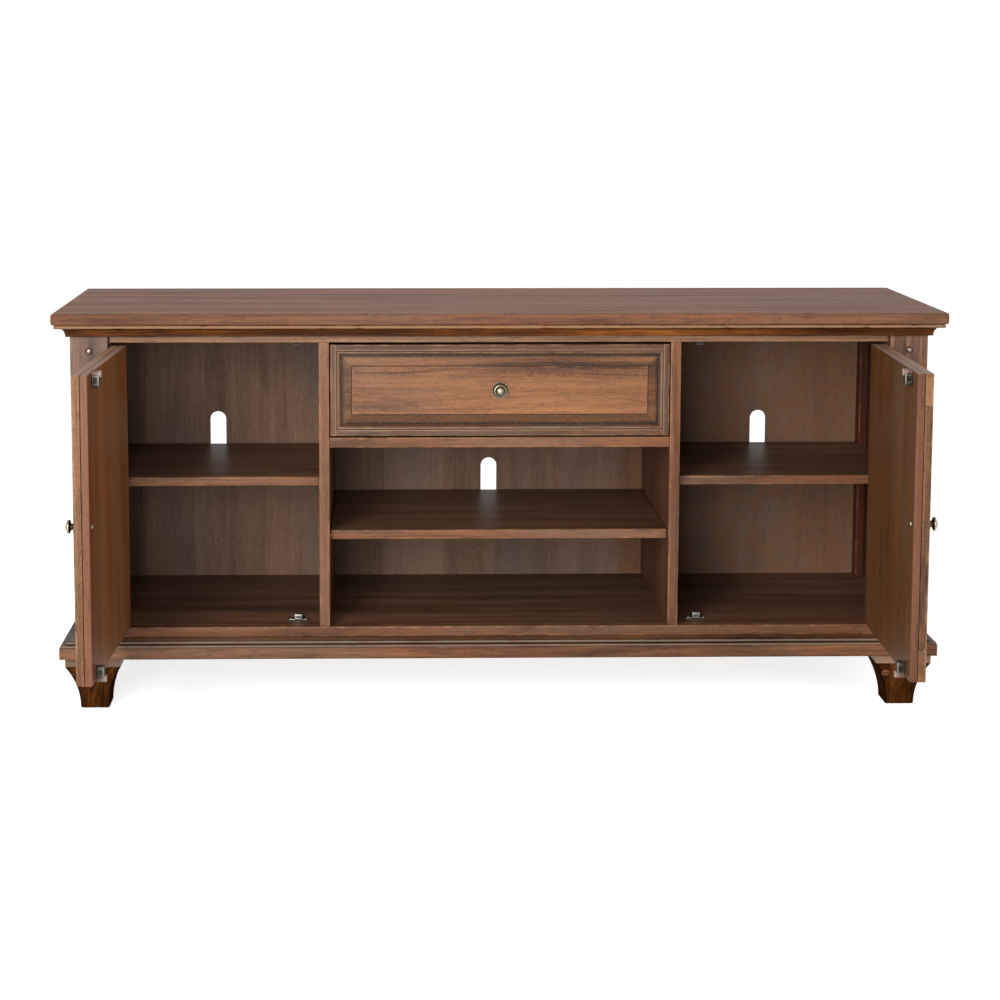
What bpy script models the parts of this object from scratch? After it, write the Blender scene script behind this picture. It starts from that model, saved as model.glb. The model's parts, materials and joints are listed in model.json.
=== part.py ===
"""Media console in distressed wood, with two hinged side doors, a drawer over an open centre bay, adjustable
shelves, a moulded top and a moulded base on four block feet.

Units are metres. X runs to the right, Y from front to back and Z up from the floor. The case is modelled in
its own frame, whose zero is on the floor under the middle of the top slab's front edge. The empty named case
then sets the world's origin under the middle of the whole object as it stands, with both doors swung open.
"""

import math

import bmesh
import bpy
from mathutils import Vector

# Whole case
CASE_WIDTH = 1.727
CASE_DEPTH = 0.484
CASE_HEIGHT = 0.786
SEAM = 0.0003
EDGE_EASE = 0.0008

# Top slab and the crown moulding under its edge
SLAB_THICKNESS = 0.0223
SLAB_OVERHANG = 0.032
SLAB_REAR_OVERHANG = 0.004
SLAB_EDGE_ROUND = 0.0045
CROWN_PROJECTION = 0.0275
CROWN_NOSE_HEIGHT = 0.0072
CROWN_COVE_TOP_INSET = 0.0088
CROWN_COVE_DEPTH = 0.0108
CROWN_COVE_HEIGHT = 0.0152
CROWN_FILLET_HEIGHT = 0.0018

# Posts, panels and rails
POST_WIDTH = 0.073
POST_DEPTH = 0.045
POST_EASE = 0.0015
REAR_POST_WIDTH = 0.035
REAR_POST_DEPTH = 0.043
FACE_SETBACK = 0.014
SIDE_PANEL_THICKNESS = 0.016
SIDE_PANEL_RECESS = 0.0035
BACK_PANEL_THICKNESS = 0.006
BACK_PANEL_RECESS = 0.007
TOP_RAIL_HEIGHT = 0.0383
RAIL_THICKNESS = 0.020
SUB_TOP_THICKNESS = 0.020
DECK_THICKNESS = 0.0198
CENTRE_BAY_WIDTH = 0.6656
DIVIDER_THICKNESS = 0.0202
DRAWER_OPENING_HEIGHT = 0.1874
DRAWER_DECK_THICKNESS = 0.0200

# Base moulding, as flat boards with a worked outer edge
BASE_PROJECTION = 0.0275
BASE_BOARD_WIDTH = 0.120
BASE_FACE_HEIGHT = 0.0228
BASE_SMALL_BEAD_RADIUS = 0.0021
BASE_SMALL_BEAD_INSET = 0.0010
BASE_STEP_RISE = 0.0004
BASE_BEAD_RADIUS = 0.0025
BASE_BEAD_INSET = 0.0115
BASE_FILLET_RISE = 0.0005
BASE_FILLET_INSET = 0.0165
MITRE_GAP = 0.0002

# Block feet, square in plan and hollowed to a narrow sole
FOOT_HEIGHT = 0.1073
FOOT_TOP_WIDTH = 0.108
FOOT_SOLE_WIDTH = 0.0565
FOOT_CURVE = 2.1
FOOT_COLLAR_HEIGHT = 0.0173
FOOT_INSET = 0.0095
FOOT_SOLE_ROUND = 0.004

# Shelves and the pins that carry them
SIDE_SHELF_TOP = 0.4520
SIDE_SHELF_THICKNESS = 0.0175
SIDE_SHELF_SETBACK = 0.042
CENTRE_SHELF_TOP = 0.3494
CENTRE_SHELF_THICKNESS = 0.0182
CENTRE_SHELF_SETBACK = 0.021
SHELF_END_GAP = 0.0015
SHELF_REAR_GAP = 0.006
SHELF_PIN_RADIUS = 0.0025
SHELF_PIN_LENGTH = 0.008
SHELF_PIN_ROOT = 0.004
SHELF_PIN_FROM_EDGE = 0.045

# Cable slots in the back panel
CABLE_SLOT_WIDTH = 0.034
CABLE_SLOT_HEIGHT = 0.102
CABLE_SLOT_RISE = 0.069
CABLE_SLOT_X = 0.5835

# Doors, each a framed raised panel on a flat backing board
DOOR_FACE_THICKNESS = 0.0146
DOOR_JOINT = 0.0006
DOOR_BACKING_THICKNESS = 0.0134
DOOR_FREE_GAP = 0.0025
DOOR_END_GAP = 0.0045
DOOR_STILE_WIDTH = 0.058
DOOR_OPEN_LEFT = math.radians(92.6)
DOOR_OPEN_RIGHT = math.radians(88.0)

# Shared worked profile of the doors and the drawer front
STICKING_WIDTH = 0.0090
STICKING_DEPTH = 0.0055
PANEL_GROOVE_WIDTH = 0.0015
PANEL_BEVEL_WIDTH = 0.0190
PANEL_BEVEL_DEPTH = 0.0065
PANEL_FIELD_DEPTH = 0.0008
PANEL_FIELD_STEP = 0.0014

# Butt hinges
HINGE_LENGTH = 0.073
HINGE_LEAF_THICKNESS = 0.0015
HINGE_LEAF_WIDTH = 0.0265
HINGE_LEAF_GAP = 0.0004
HINGE_KNUCKLE_RADIUS = 0.0030
HINGE_PIN_RADIUS = 0.0014
HINGE_RUNNING_GAP = 0.0003
HINGE_KNUCKLES = 5
HINGE_FROM_TOP = 0.112
HINGE_FROM_BOTTOM = 0.104

# Magnetic catches and the strikes that meet them
CATCH_FROM_DIVIDER = 0.0444
CATCH_BODY_WIDTH = 0.0156
CATCH_BODY_HEIGHT = 0.0122
CATCH_BODY_DEPTH = 0.0140
CATCH_FLANGE_WIDTH = 0.044
CATCH_FLANGE_THICKNESS = 0.0015
CATCH_FLANGE_DEPTH = 0.0115
CATCH_POLE_WIDTH = 0.0126
CATCH_POLE_THICKNESS = 0.0012
CATCH_POLE_SPREAD = 0.0060
CATCH_POLE_PROUD = 0.0006
CATCH_POLE_LENGTH = 0.006
CATCH_CLEARANCE = 0.0005
STRIKE_PLATE_WIDTH = 0.014
STRIKE_PLATE_LENGTH = 0.027
STRIKE_PLATE_THICKNESS = 0.0145
STRIKE_NOSE_RADIUS = 0.0058
STRIKE_NOSE_LENGTH = 0.0180
STRIKE_NOSE_FROM_EDGE = 0.0024

# Knobs, on the doors and the drawer
KNOB_PLATE_RADIUS = 0.0170
KNOB_PLATE_THICKNESS = 0.0020
KNOB_NECK_RADIUS = 0.0060
KNOB_HEAD_RADIUS = 0.0125
KNOB_LENGTH = 0.0180
DOOR_KNOB_FROM_EDGE = 0.0235
DOOR_KNOB_ABOVE_MIDDLE = 0.005

# Studs on the front posts
STUD_RADIUS = 0.00675
STUD_HEIGHT = 0.0032
STUD_FROM_TOP = 0.053

# Drawer
DRAWER_FRONT_THICKNESS = 0.020
DRAWER_BAND_WIDTH = 0.0124
DRAWER_SIDE_GAP = 0.0020
DRAWER_LIFT = 0.0032
DRAWER_TOP_GAP = 0.0048
DRAWER_BOX_CLEARANCE = 0.0015
DRAWER_BOARD_THICKNESS = 0.012
DRAWER_BOX_HEIGHT = 0.140
DRAWER_BOX_LENGTH = 0.385
DRAWER_BOTTOM_THICKNESS = 0.005
DRAWER_BOTTOM_RISE = 0.010

# Counts of facets
ARC_STEPS = 5
ROUND_SIDES = 24
SMALL_ROUND_SIDES = 14

# Heights worked out from the sizes above
BASE_UNDER = FOOT_HEIGHT + SEAM
BASE_TOP = (
    BASE_UNDER + BASE_FACE_HEIGHT + 2 * BASE_SMALL_BEAD_RADIUS + BASE_STEP_RISE + 2 * BASE_BEAD_RADIUS
    + BASE_FILLET_RISE
)
DECK_UNDER = BASE_TOP + SEAM
DECK_TOP = DECK_UNDER + DECK_THICKNESS
SLAB_UNDER = CASE_HEIGHT - SLAB_THICKNESS
POST_TOP = SLAB_UNDER - SEAM
RAIL_UNDER = POST_TOP - TOP_RAIL_HEIGHT
DRAWER_DECK_TOP = RAIL_UNDER - DRAWER_OPENING_HEIGHT

# Places across the width, all for the right-hand side
POST_OUT_X = CASE_WIDTH / 2 - SLAB_OVERHANG
POST_IN_X = POST_OUT_X - POST_WIDTH
REAR_POST_IN_X = POST_OUT_X - REAR_POST_WIDTH
SIDE_OUT_X = POST_OUT_X - SIDE_PANEL_RECESS
SIDE_IN_X = SIDE_OUT_X - SIDE_PANEL_THICKNESS
BASE_OUT_X = POST_OUT_X + BASE_PROJECTION
CROWN_OUT_X = POST_OUT_X + CROWN_PROJECTION
DIVIDER_IN_X = CENTRE_BAY_WIDTH / 2
DIVIDER_OUT_X = DIVIDER_IN_X + DIVIDER_THICKNESS
FOOT_X = BASE_OUT_X - FOOT_INSET - FOOT_TOP_WIDTH / 2

# Places from front to back
POST_FRONT_Y = SLAB_OVERHANG
POST_BACK_Y = POST_FRONT_Y + POST_DEPTH
FACE_Y = POST_FRONT_Y + FACE_SETBACK
BASE_FRONT_Y = POST_FRONT_Y - BASE_PROJECTION
CROWN_FRONT_Y = POST_FRONT_Y - CROWN_PROJECTION
CASE_BACK_Y = CASE_DEPTH - SLAB_REAR_OVERHANG
REAR_POST_FRONT_Y = CASE_BACK_Y - REAR_POST_DEPTH
BACK_PANEL_Y = CASE_BACK_Y - BACK_PANEL_RECESS - BACK_PANEL_THICKNESS
BOARD_FRONT_Y = FACE_Y + RAIL_THICKNESS + SEAM
BOARD_BACK_Y = BACK_PANEL_Y - SEAM

# The closed door, and its pivot in the middle of the hinge's barrel
HINGE_GAP = 2 * (HINGE_LEAF_THICKNESS + SEAM) + HINGE_LEAF_GAP
PIVOT_X = POST_IN_X - SEAM - HINGE_KNUCKLE_RADIUS
PIVOT_Y = FACE_Y - SEAM - HINGE_KNUCKLE_RADIUS
DOOR_NEAR = PIVOT_X - (POST_IN_X - HINGE_GAP)
DOOR_FAR = PIVOT_X - DIVIDER_OUT_X - DOOR_FREE_GAP
DOOR_OUTER = FACE_Y - PIVOT_Y
DOOR_BACKING_OUTER = DOOR_OUTER + DOOR_FACE_THICKNESS + DOOR_JOINT
DOOR_INNER = DOOR_BACKING_OUTER + DOOR_BACKING_THICKNESS
DOOR_BOTTOM = DECK_TOP + DOOR_END_GAP
DOOR_TOP = RAIL_UNDER - DOOR_END_GAP
CATCH_X = DIVIDER_OUT_X + CATCH_FROM_DIVIDER
CATCH_FRONT_Y = PIVOT_Y + DOOR_INNER + STRIKE_NOSE_LENGTH + CATCH_CLEARANCE

# The doors stand open in front of the case, so the object reaches from a door's tip to the slab's back edge
DOOR_TIP_Y = PIVOT_Y + min(
    across * math.cos(angle) - DOOR_FAR * math.sin(angle)
    for angle in (DOOR_OPEN_LEFT, DOOR_OPEN_RIGHT)
    for across in (DOOR_OUTER, DOOR_INNER)
)
CASE_SHIFT_Y = -(DOOR_TIP_Y + CASE_DEPTH) / 2

SIDES = {"left": -1, "right": 1}
UPRIGHT = (0.0, 0.0, 1.0)

# Finishes as colour, roughness and metallic value
FINISHES = {
    "dark_top": ((0.085, 0.035, 0.020), 0.32, 0.0),
    "red_brown": ((0.200, 0.075, 0.035), 0.45, 0.0),
    "foot_brown": ((0.130, 0.048, 0.025), 0.50, 0.0),
    "inside_brown": ((0.090, 0.050, 0.035), 0.60, 0.0),
    "shelf_dark": ((0.060, 0.030, 0.022), 0.35, 0.0),
    "drawer_wood": ((0.420, 0.270, 0.150), 0.65, 0.0),
    "bronze": ((0.090, 0.065, 0.045), 0.35, 0.9),
    "brass": ((0.520, 0.370, 0.170), 0.30, 1.0),
    "steel": ((0.400, 0.400, 0.390), 0.35, 1.0),
}


def clear_scene():
    for item in list(bpy.data.objects):
        bpy.data.objects.remove(item, do_unlink=True)


def empty(name, location, parent=None, turn=0.0):
    """An empty that carries the pieces of one body, turned about Z."""
    item = bpy.data.objects.new(name, None)
    item.location = location
    item.rotation_euler = (0.0, 0.0, turn)
    item.parent = parent
    bpy.context.scene.collection.objects.link(item)
    return item


def material(name, finish):
    colour, roughness, metallic = FINISHES[finish]
    made = bpy.data.materials.new(name + "_finish")
    made.use_nodes = True
    shader = made.node_tree.nodes["Principled BSDF"]
    shader.inputs["Base Color"].default_value = (*colour, 1.0)
    shader.inputs["Roughness"].default_value = roughness
    shader.inputs["Metallic"].default_value = metallic
    return made


def piece(name, shape, finish, parent, location=(0.0, 0.0, 0.0), is_round=False):
    """Makes one object of a bmesh whose points are given about the location."""
    bmesh.ops.recalc_face_normals(shape, faces=shape.faces)
    mesh = bpy.data.meshes.new(name)
    shape.to_mesh(mesh)
    shape.free()
    if is_round:
        mesh.shade_smooth()
        mesh.set_sharp_from_angle(angle=math.radians(35))
    item = bpy.data.objects.new(name, mesh)
    item.location = location
    item.parent = parent
    mesh.materials.append(material(name, finish))
    bpy.context.scene.collection.objects.link(item)
    return item


def helper(name, shape, parent, location=(0.0, 0.0, 0.0)):
    """A solid that only serves a Boolean of another piece."""
    item = piece(name, shape, "steel", parent, location)
    item.hide_render = True
    item.display_type = "WIRE"
    return item


def combine(item, other, operation):
    step = item.modifiers.new(operation.lower() + "_" + other.name, "BOOLEAN")
    step.object = other
    step.operation = operation
    step.solver = "EXACT"


def box_shape(size, ease=0.0, segments=1):
    """A block about its own middle, with its edges eased."""
    shape = bmesh.new()
    bmesh.ops.create_cube(shape, size=1.0)
    bmesh.ops.scale(shape, vec=Vector(size), verts=shape.verts)
    if ease > 0.0:
        bmesh.ops.bevel(
            shape, geom=list(shape.edges), offset=ease, segments=segments, profile=0.5, affect="EDGES"
        )
    return shape


def ordered(first, second):
    return min(first, second), max(first, second)


def board(name, x, y, z, finish, parent, ease=EDGE_EASE, segments=1):
    """A straight board between the given limits along each axis."""
    size = [high - low for low, high in (x, y, z)]
    middle = [(high + low) / 2 for low, high in (x, y, z)]
    return piece(name, box_shape(size, ease, segments), finish, parent, middle)


def block_helper(name, x, y, z, parent):
    size = [high - low for low, high in (x, y, z)]
    middle = [(high + low) / 2 for low, high in (x, y, z)]
    return helper(name, box_shape(size), parent, middle)


def prism_shape(outline, depth, place):
    """Extrudes a closed outline; place turns an outline point and a depth into a point in space."""
    shape = bmesh.new()
    near = [shape.verts.new(place(point, 0.0)) for point in outline]
    face = shape.faces.new(near)
    grown = bmesh.ops.extrude_face_region(shape, geom=[face])
    shift = Vector(place(outline[0], depth)) - Vector(place(outline[0], 0.0))
    moved = [part for part in grown["geom"] if isinstance(part, bmesh.types.BMVert)]
    bmesh.ops.translate(shape, vec=shift, verts=moved)
    return shape


def arc(centre, radius, start, end, steps=ARC_STEPS):
    """Points of a round arc in a profile, from one angle to another in degrees."""
    angles = [math.radians(start + (end - start) * step / steps) for step in range(steps + 1)]
    return [(centre[0] + radius * math.cos(angle), centre[1] + radius * math.sin(angle)) for angle in angles]


def lathe_shape(profile, sides, axis):
    """Turns a profile of radius and height pairs about a line along Y; axis is its sense along Y."""
    shape = bmesh.new()
    rings = []
    for radius, height in profile:
        if radius == 0.0:
            rings.append([shape.verts.new((0.0, axis * height, 0.0))])
            continue
        ring = []
        for side in range(sides):
            turn = 2 * math.pi * side / sides
            ring.append(shape.verts.new((radius * math.cos(turn), axis * height, radius * math.sin(turn))))
        rings.append(ring)
    for low, high in zip(rings, rings[1:]):
        for side in range(sides):
            after = (side + 1) % sides
            corners = [low[side % len(low)], low[after % len(low)]]
            corners += [high[after % len(high)], high[side % len(high)]]
            shape.faces.new(list(dict.fromkeys(corners)))
    return shape


def cylinder_shape(radius, length, axis, sides):
    """A plain cylinder about its own middle, along one axis."""
    shape = bmesh.new()
    bmesh.ops.create_cone(shape, cap_ends=True, segments=sides, radius1=radius, radius2=radius, depth=length)
    turn = Vector((0.0, 0.0, 1.0)).rotation_difference(Vector(axis)).to_matrix()
    bmesh.ops.rotate(shape, matrix=turn, verts=shape.verts)
    return shape


def ring_shape(x, z, rings, closed_ring):
    """Joins rectangles, given as inset and depth pairs, into a panel or, closed on itself, into a frame."""
    shape = bmesh.new()
    loops = []
    for inset, depth in rings:
        corners = (
            (x[0] + inset, z[0] + inset),
            (x[1] - inset, z[0] + inset),
            (x[1] - inset, z[1] - inset),
            (x[0] + inset, z[1] - inset),
        )
        loops.append([shape.verts.new((across, depth, up)) for across, up in corners])
    pairs = list(zip(loops, loops[1:]))
    if closed_ring:
        pairs.append((loops[-1], loops[0]))
    else:
        shape.faces.new(loops[0])
        shape.faces.new(loops[-1])
    for outer, inner in pairs:
        for corner in range(4):
            after = (corner + 1) % 4
            shape.faces.new((outer[corner], outer[after], inner[after], inner[corner]))
    return shape


def moulding_shape(profile, start, end, mitres, place):
    """Runs a profile of inset and height pairs along an edge, with mitred or square ends."""
    shape = bmesh.new()
    ends = []
    for along, mitre, sense in ((start, mitres[0], 1), (end, mitres[1], -1)):
        gap = MITRE_GAP if mitre else 0.0
        points = [place(along + sense * (inset * mitre + gap), inset, up) for inset, up in profile]
        ends.append([shape.verts.new(point) for point in points])
    shape.faces.new(ends[0])
    shape.faces.new(ends[1])
    for index in range(len(profile)):
        after = (index + 1) % len(profile)
        shape.faces.new((ends[0][index], ends[0][after], ends[1][after], ends[1][index]))
    return shape


def moulding_set(stem, profile, out_x, front_y, finish, parent):
    """Front, left and right lengths of one moulding, mitred at the front corners."""
    front = moulding_shape(
        profile, -out_x, out_x, (1, 1), lambda along, inset, up: (along, front_y + inset, up)
    )
    piece(stem + "_front", front, finish, parent)
    for side_name, side in SIDES.items():
        run = moulding_shape(
            profile, front_y, CASE_BACK_Y, (1, 0),
            lambda along, inset, up, side=side: (side * (out_x - inset), along, up),
        )
        piece(f"{stem}_{side_name}", run, finish, parent)


def crown_profile():
    top = POST_TOP
    nose = CROWN_NOSE_HEIGHT / 2
    under_nose = top - CROWN_NOSE_HEIGHT
    points = arc((nose, top - nose), nose, 90, 270)
    for step in range(ARC_STEPS + 1):
        turn = math.pi / 2 * step / ARC_STEPS
        inset = CROWN_COVE_TOP_INSET + CROWN_COVE_DEPTH * math.sin(turn)
        points.append((inset, under_nose - CROWN_COVE_HEIGHT * (1 - math.cos(turn))))
    foot = under_nose - CROWN_COVE_HEIGHT - CROWN_FILLET_HEIGHT
    points.append((CROWN_COVE_TOP_INSET + CROWN_COVE_DEPTH, foot))
    points.append((CROWN_PROJECTION - SEAM, foot))
    points.append((CROWN_PROJECTION - SEAM, top))
    return points


def base_profile():
    face_top = BASE_UNDER + BASE_FACE_HEIGHT
    small = BASE_SMALL_BEAD_RADIUS
    bead_foot = face_top + 2 * small + BASE_STEP_RISE
    points = [
        (BASE_BOARD_WIDTH, BASE_UNDER),
        (EDGE_EASE, BASE_UNDER),
        (0.0, BASE_UNDER + EDGE_EASE),
        (0.0, face_top),
    ]
    points += arc((BASE_SMALL_BEAD_INSET + small, face_top + small), small, 270, 90)
    bead = BASE_BEAD_RADIUS
    points += arc((BASE_BEAD_INSET + bead, bead_foot + bead), bead, 270, 90)
    points.append((BASE_FILLET_INSET, bead_foot + 2 * bead))
    points.append((BASE_FILLET_INSET, BASE_TOP))
    points.append((BASE_BOARD_WIDTH, BASE_TOP))
    return points


def top_and_base(case):
    half = CASE_WIDTH / 2
    board(
        "top_slab", (-half, half), (0.0, CASE_DEPTH), (SLAB_UNDER, CASE_HEIGHT), "dark_top", case,
        ease=SLAB_EDGE_ROUND, segments=3,
    )
    moulding_set("crown", crown_profile(), CROWN_OUT_X, CROWN_FRONT_Y, "red_brown", case)
    moulding_set("base", base_profile(), BASE_OUT_X, BASE_FRONT_Y, "red_brown", case)


def foot_shape():
    """A square block whose four faces hollow inwards from a collar to a narrow, eased sole."""
    shape = bmesh.new()
    hollow_top = FOOT_HEIGHT - FOOT_COLLAR_HEIGHT
    sole = FOOT_SOLE_WIDTH / 2
    swell = FOOT_TOP_WIDTH / 2 - sole

    def half_width(up):
        return sole + swell * (up / hollow_top) ** FOOT_CURVE

    steps = 8
    levels = [(sole - FOOT_SOLE_ROUND, 0.0)]
    levels.append((sole - 0.3 * FOOT_SOLE_ROUND, 0.3 * FOOT_SOLE_ROUND))
    rise = hollow_top - FOOT_SOLE_ROUND
    for step in range(steps + 1):
        up = FOOT_SOLE_ROUND + rise * step / steps
        levels.append((half_width(up), up))
    levels.append((FOOT_TOP_WIDTH / 2, FOOT_HEIGHT))
    rings = []
    for half, up in levels:
        corners = ((-half, -half), (half, -half), (half, half), (-half, half))
        rings.append([shape.verts.new((x, y, up)) for x, y in corners])
    shape.faces.new(rings[0])
    shape.faces.new(rings[-1])
    for low, high in zip(rings, rings[1:]):
        for corner in range(4):
            after = (corner + 1) % 4
            shape.faces.new((low[corner], low[after], high[after], high[corner]))
    return shape


def feet(case):
    reach = FOOT_INSET + FOOT_TOP_WIDTH / 2
    places = {"front": BASE_FRONT_Y + reach, "rear": CASE_BACK_Y - reach}
    for row, y in places.items():
        for side_name, side in SIDES.items():
            piece(f"foot_{row}_{side_name}", foot_shape(), "foot_brown", case, (side * FOOT_X, y, 0.0))


def posts_and_panels(case):
    upright = (DECK_UNDER, POST_TOP)
    for side_name, side in SIDES.items():
        front_x = ordered(side * POST_IN_X, side * POST_OUT_X)
        front_y = (POST_FRONT_Y, POST_BACK_Y)
        board(f"post_front_{side_name}", front_x, front_y, upright, "red_brown", case, POST_EASE)
        rear_x = ordered(side * REAR_POST_IN_X, side * POST_OUT_X)
        board(f"post_rear_{side_name}", rear_x, (REAR_POST_FRONT_Y, CASE_BACK_Y), upright, "red_brown", case)
        panel_x = ordered(side * SIDE_IN_X, side * SIDE_OUT_X)
        panel_y = (POST_BACK_Y + SEAM, REAR_POST_FRONT_Y - SEAM)
        panel = board(f"side_panel_{side_name}", panel_x, panel_y, upright, "red_brown", case)
        add_pins(panel, side * SIDE_IN_X, -side, side_shelf_pins(), case)


def board_outline(front, back):
    """A board that fills the case between its side panels, notched round the front and rear posts."""
    half = []
    half.append((POST_IN_X - SEAM, front))
    half.append((POST_IN_X - SEAM, POST_BACK_Y + SEAM))
    half.append((SIDE_IN_X - SEAM, POST_BACK_Y + SEAM))
    half.append((SIDE_IN_X - SEAM, REAR_POST_FRONT_Y - SEAM))
    half.append((REAR_POST_IN_X - SEAM, REAR_POST_FRONT_Y - SEAM))
    half.append((REAR_POST_IN_X - SEAM, back))
    return half + [(-x, y) for x, y in reversed(half)]


def flat_board(name, outline, z, finish, parent):
    """A level board of any outline, with its object at its underside."""
    shape = prism_shape(outline, z[1] - z[0], lambda point, up: (point[0], point[1], up))
    return piece(name, shape, finish, parent, (0.0, 0.0, z[0]))


def decks_and_rails(case):
    between = (-POST_IN_X + SEAM, POST_IN_X - SEAM)
    rail_y = (FACE_Y, FACE_Y + RAIL_THICKNESS)
    board("top_rail", between, rail_y, (RAIL_UNDER, POST_TOP), "red_brown", case)
    board("bottom_rail", between, rail_y, (DECK_UNDER, DECK_TOP), "red_brown", case)
    outline = board_outline(BOARD_FRONT_Y, BOARD_BACK_Y)
    flat_board("deck", outline, (DECK_UNDER, DECK_TOP), "shelf_dark", case)
    flat_board("sub_top", outline, (RAIL_UNDER, RAIL_UNDER + SUB_TOP_THICKNESS), "inside_brown", case)
    inner = DIVIDER_IN_X - SEAM
    board(
        "drawer_deck", (-inner, inner), (FACE_Y, BOARD_BACK_Y),
        (DRAWER_DECK_TOP - DRAWER_DECK_THICKNESS, DRAWER_DECK_TOP), "inside_brown", case,
    )


def dividers(case):
    for side_name, side in SIDES.items():
        x = ordered(side * DIVIDER_IN_X, side * DIVIDER_OUT_X)
        z = (DECK_TOP + SEAM, RAIL_UNDER - SEAM)
        upright = board(f"divider_{side_name}", x, (FACE_Y, BOARD_BACK_Y), z, "inside_brown", case)
        add_pins(upright, side * DIVIDER_OUT_X, side, side_shelf_pins(), case)
        add_pins(upright, side * DIVIDER_IN_X, -side, centre_shelf_pins(), case)


def shelf_pins(shelf_front, shelf_back, under):
    height = under - SEAM - SHELF_PIN_RADIUS
    return [(shelf_front + SHELF_PIN_FROM_EDGE, height), (shelf_back - SHELF_PIN_FROM_EDGE, height)]


def side_shelf_pins():
    return shelf_pins(
        FACE_Y + SIDE_SHELF_SETBACK, REAR_POST_FRONT_Y, SIDE_SHELF_TOP - SIDE_SHELF_THICKNESS
    )


def centre_shelf_pins():
    return shelf_pins(
        FACE_Y + CENTRE_SHELF_SETBACK, REAR_POST_FRONT_Y, CENTRE_SHELF_TOP - CENTRE_SHELF_THICKNESS
    )


def add_pins(upright, face_x, sense, pins, case):
    """Shelf pins that stand out of an upright's face; sense is the way they point along X."""
    length = SHELF_PIN_LENGTH + SHELF_PIN_ROOT
    middle = face_x + sense * (SHELF_PIN_LENGTH - SHELF_PIN_ROOT) / 2
    for y, z in pins:
        pin = helper(
            f"{upright.name}_pin_{len(upright.modifiers)}",
            cylinder_shape(SHELF_PIN_RADIUS, length, (1.0, 0.0, 0.0), 10), case, (middle, y, z),
        )
        combine(upright, pin, "UNION")


def shelves(case):
    shelf_back = BACK_PANEL_Y - SHELF_REAR_GAP
    half = DIVIDER_IN_X - SHELF_END_GAP
    board(
        "shelf_centre", (-half, half), (FACE_Y + CENTRE_SHELF_SETBACK, shelf_back),
        (CENTRE_SHELF_TOP - CENTRE_SHELF_THICKNESS, CENTRE_SHELF_TOP), "shelf_dark", case,
    )
    inner = DIVIDER_OUT_X + SHELF_END_GAP
    outer = SIDE_IN_X - SHELF_END_GAP
    notch_x = REAR_POST_IN_X - SHELF_END_GAP
    notch_y = REAR_POST_FRONT_Y - SHELF_END_GAP
    front = FACE_Y + SIDE_SHELF_SETBACK
    outline = [
        (inner, front), (outer, front), (outer, notch_y), (notch_x, notch_y), (notch_x, shelf_back),
        (inner, shelf_back),
    ]
    for side_name, side in SIDES.items():
        own = [(side * x, y) for x, y in outline]
        z = (SIDE_SHELF_TOP - SIDE_SHELF_THICKNESS, SIDE_SHELF_TOP)
        flat_board(f"shelf_{side_name}", own, z, "shelf_dark", case)


def slot_shape(depth):
    """An upright slot with round ends, through the back panel."""
    radius = CABLE_SLOT_WIDTH / 2
    rise = CABLE_SLOT_HEIGHT / 2 - radius
    outline = arc((0.0, rise), radius, 0, 180, 8) + arc((0.0, -rise), radius, 180, 360, 8)
    return prism_shape(outline, depth, lambda point, along: (point[0], along, point[1]))


def back_panel(case):
    half_width = REAR_POST_IN_X - SEAM
    panel = board(
        "back_panel", (-half_width, half_width), (BACK_PANEL_Y, BACK_PANEL_Y + BACK_PANEL_THICKNESS),
        (DECK_UNDER, POST_TOP), "inside_brown", case, ease=0.0,
    )
    margin = 0.004
    half = CABLE_SLOT_HEIGHT / 2
    places = (
        (-CABLE_SLOT_X, SIDE_SHELF_TOP + CABLE_SLOT_RISE - half),
        (0.0, CENTRE_SHELF_TOP + CABLE_SLOT_RISE - half),
        (CABLE_SLOT_X, SIDE_SHELF_TOP + CABLE_SLOT_RISE - half),
    )
    for number, (x, z) in enumerate(places):
        slot = helper(
            f"cable_slot_{number}", slot_shape(BACK_PANEL_THICKNESS + 2 * margin), case,
            (x, BACK_PANEL_Y - margin, z),
        )
        combine(panel, slot, "DIFFERENCE")


def studs(case):
    """Domed studs, each with a raised rim, on the front posts."""
    profile = [
        (0.0, 0.0),
        (STUD_RADIUS, 0.0),
        (STUD_RADIUS, 0.3 * STUD_HEIGHT),
        (0.86 * STUD_RADIUS, 0.5 * STUD_HEIGHT),
        (0.72 * STUD_RADIUS, 0.44 * STUD_HEIGHT),
        (0.55 * STUD_RADIUS, 0.8 * STUD_HEIGHT),
        (0.0, STUD_HEIGHT),
    ]
    for side_name, side in SIDES.items():
        place = (side * (POST_IN_X + POST_WIDTH / 2), POST_FRONT_Y - SEAM, POST_TOP - STUD_FROM_TOP)
        shape = lathe_shape(profile, ROUND_SIDES, -1)
        piece(f"stud_{side_name}", shape, "bronze", case, place, is_round=True)


def catches(case):
    """A magnetic catch at the foot and at the head of each side bay."""
    ends = {"bottom": (DECK_TOP + SEAM, 1), "top": (RAIL_UNDER - SEAM, -1)}
    for side_name, side in SIDES.items():
        for end, (seat, sense) in ends.items():
            catch(f"catch_{side_name}_{end}", side * CATCH_X, seat, sense, case)


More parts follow.
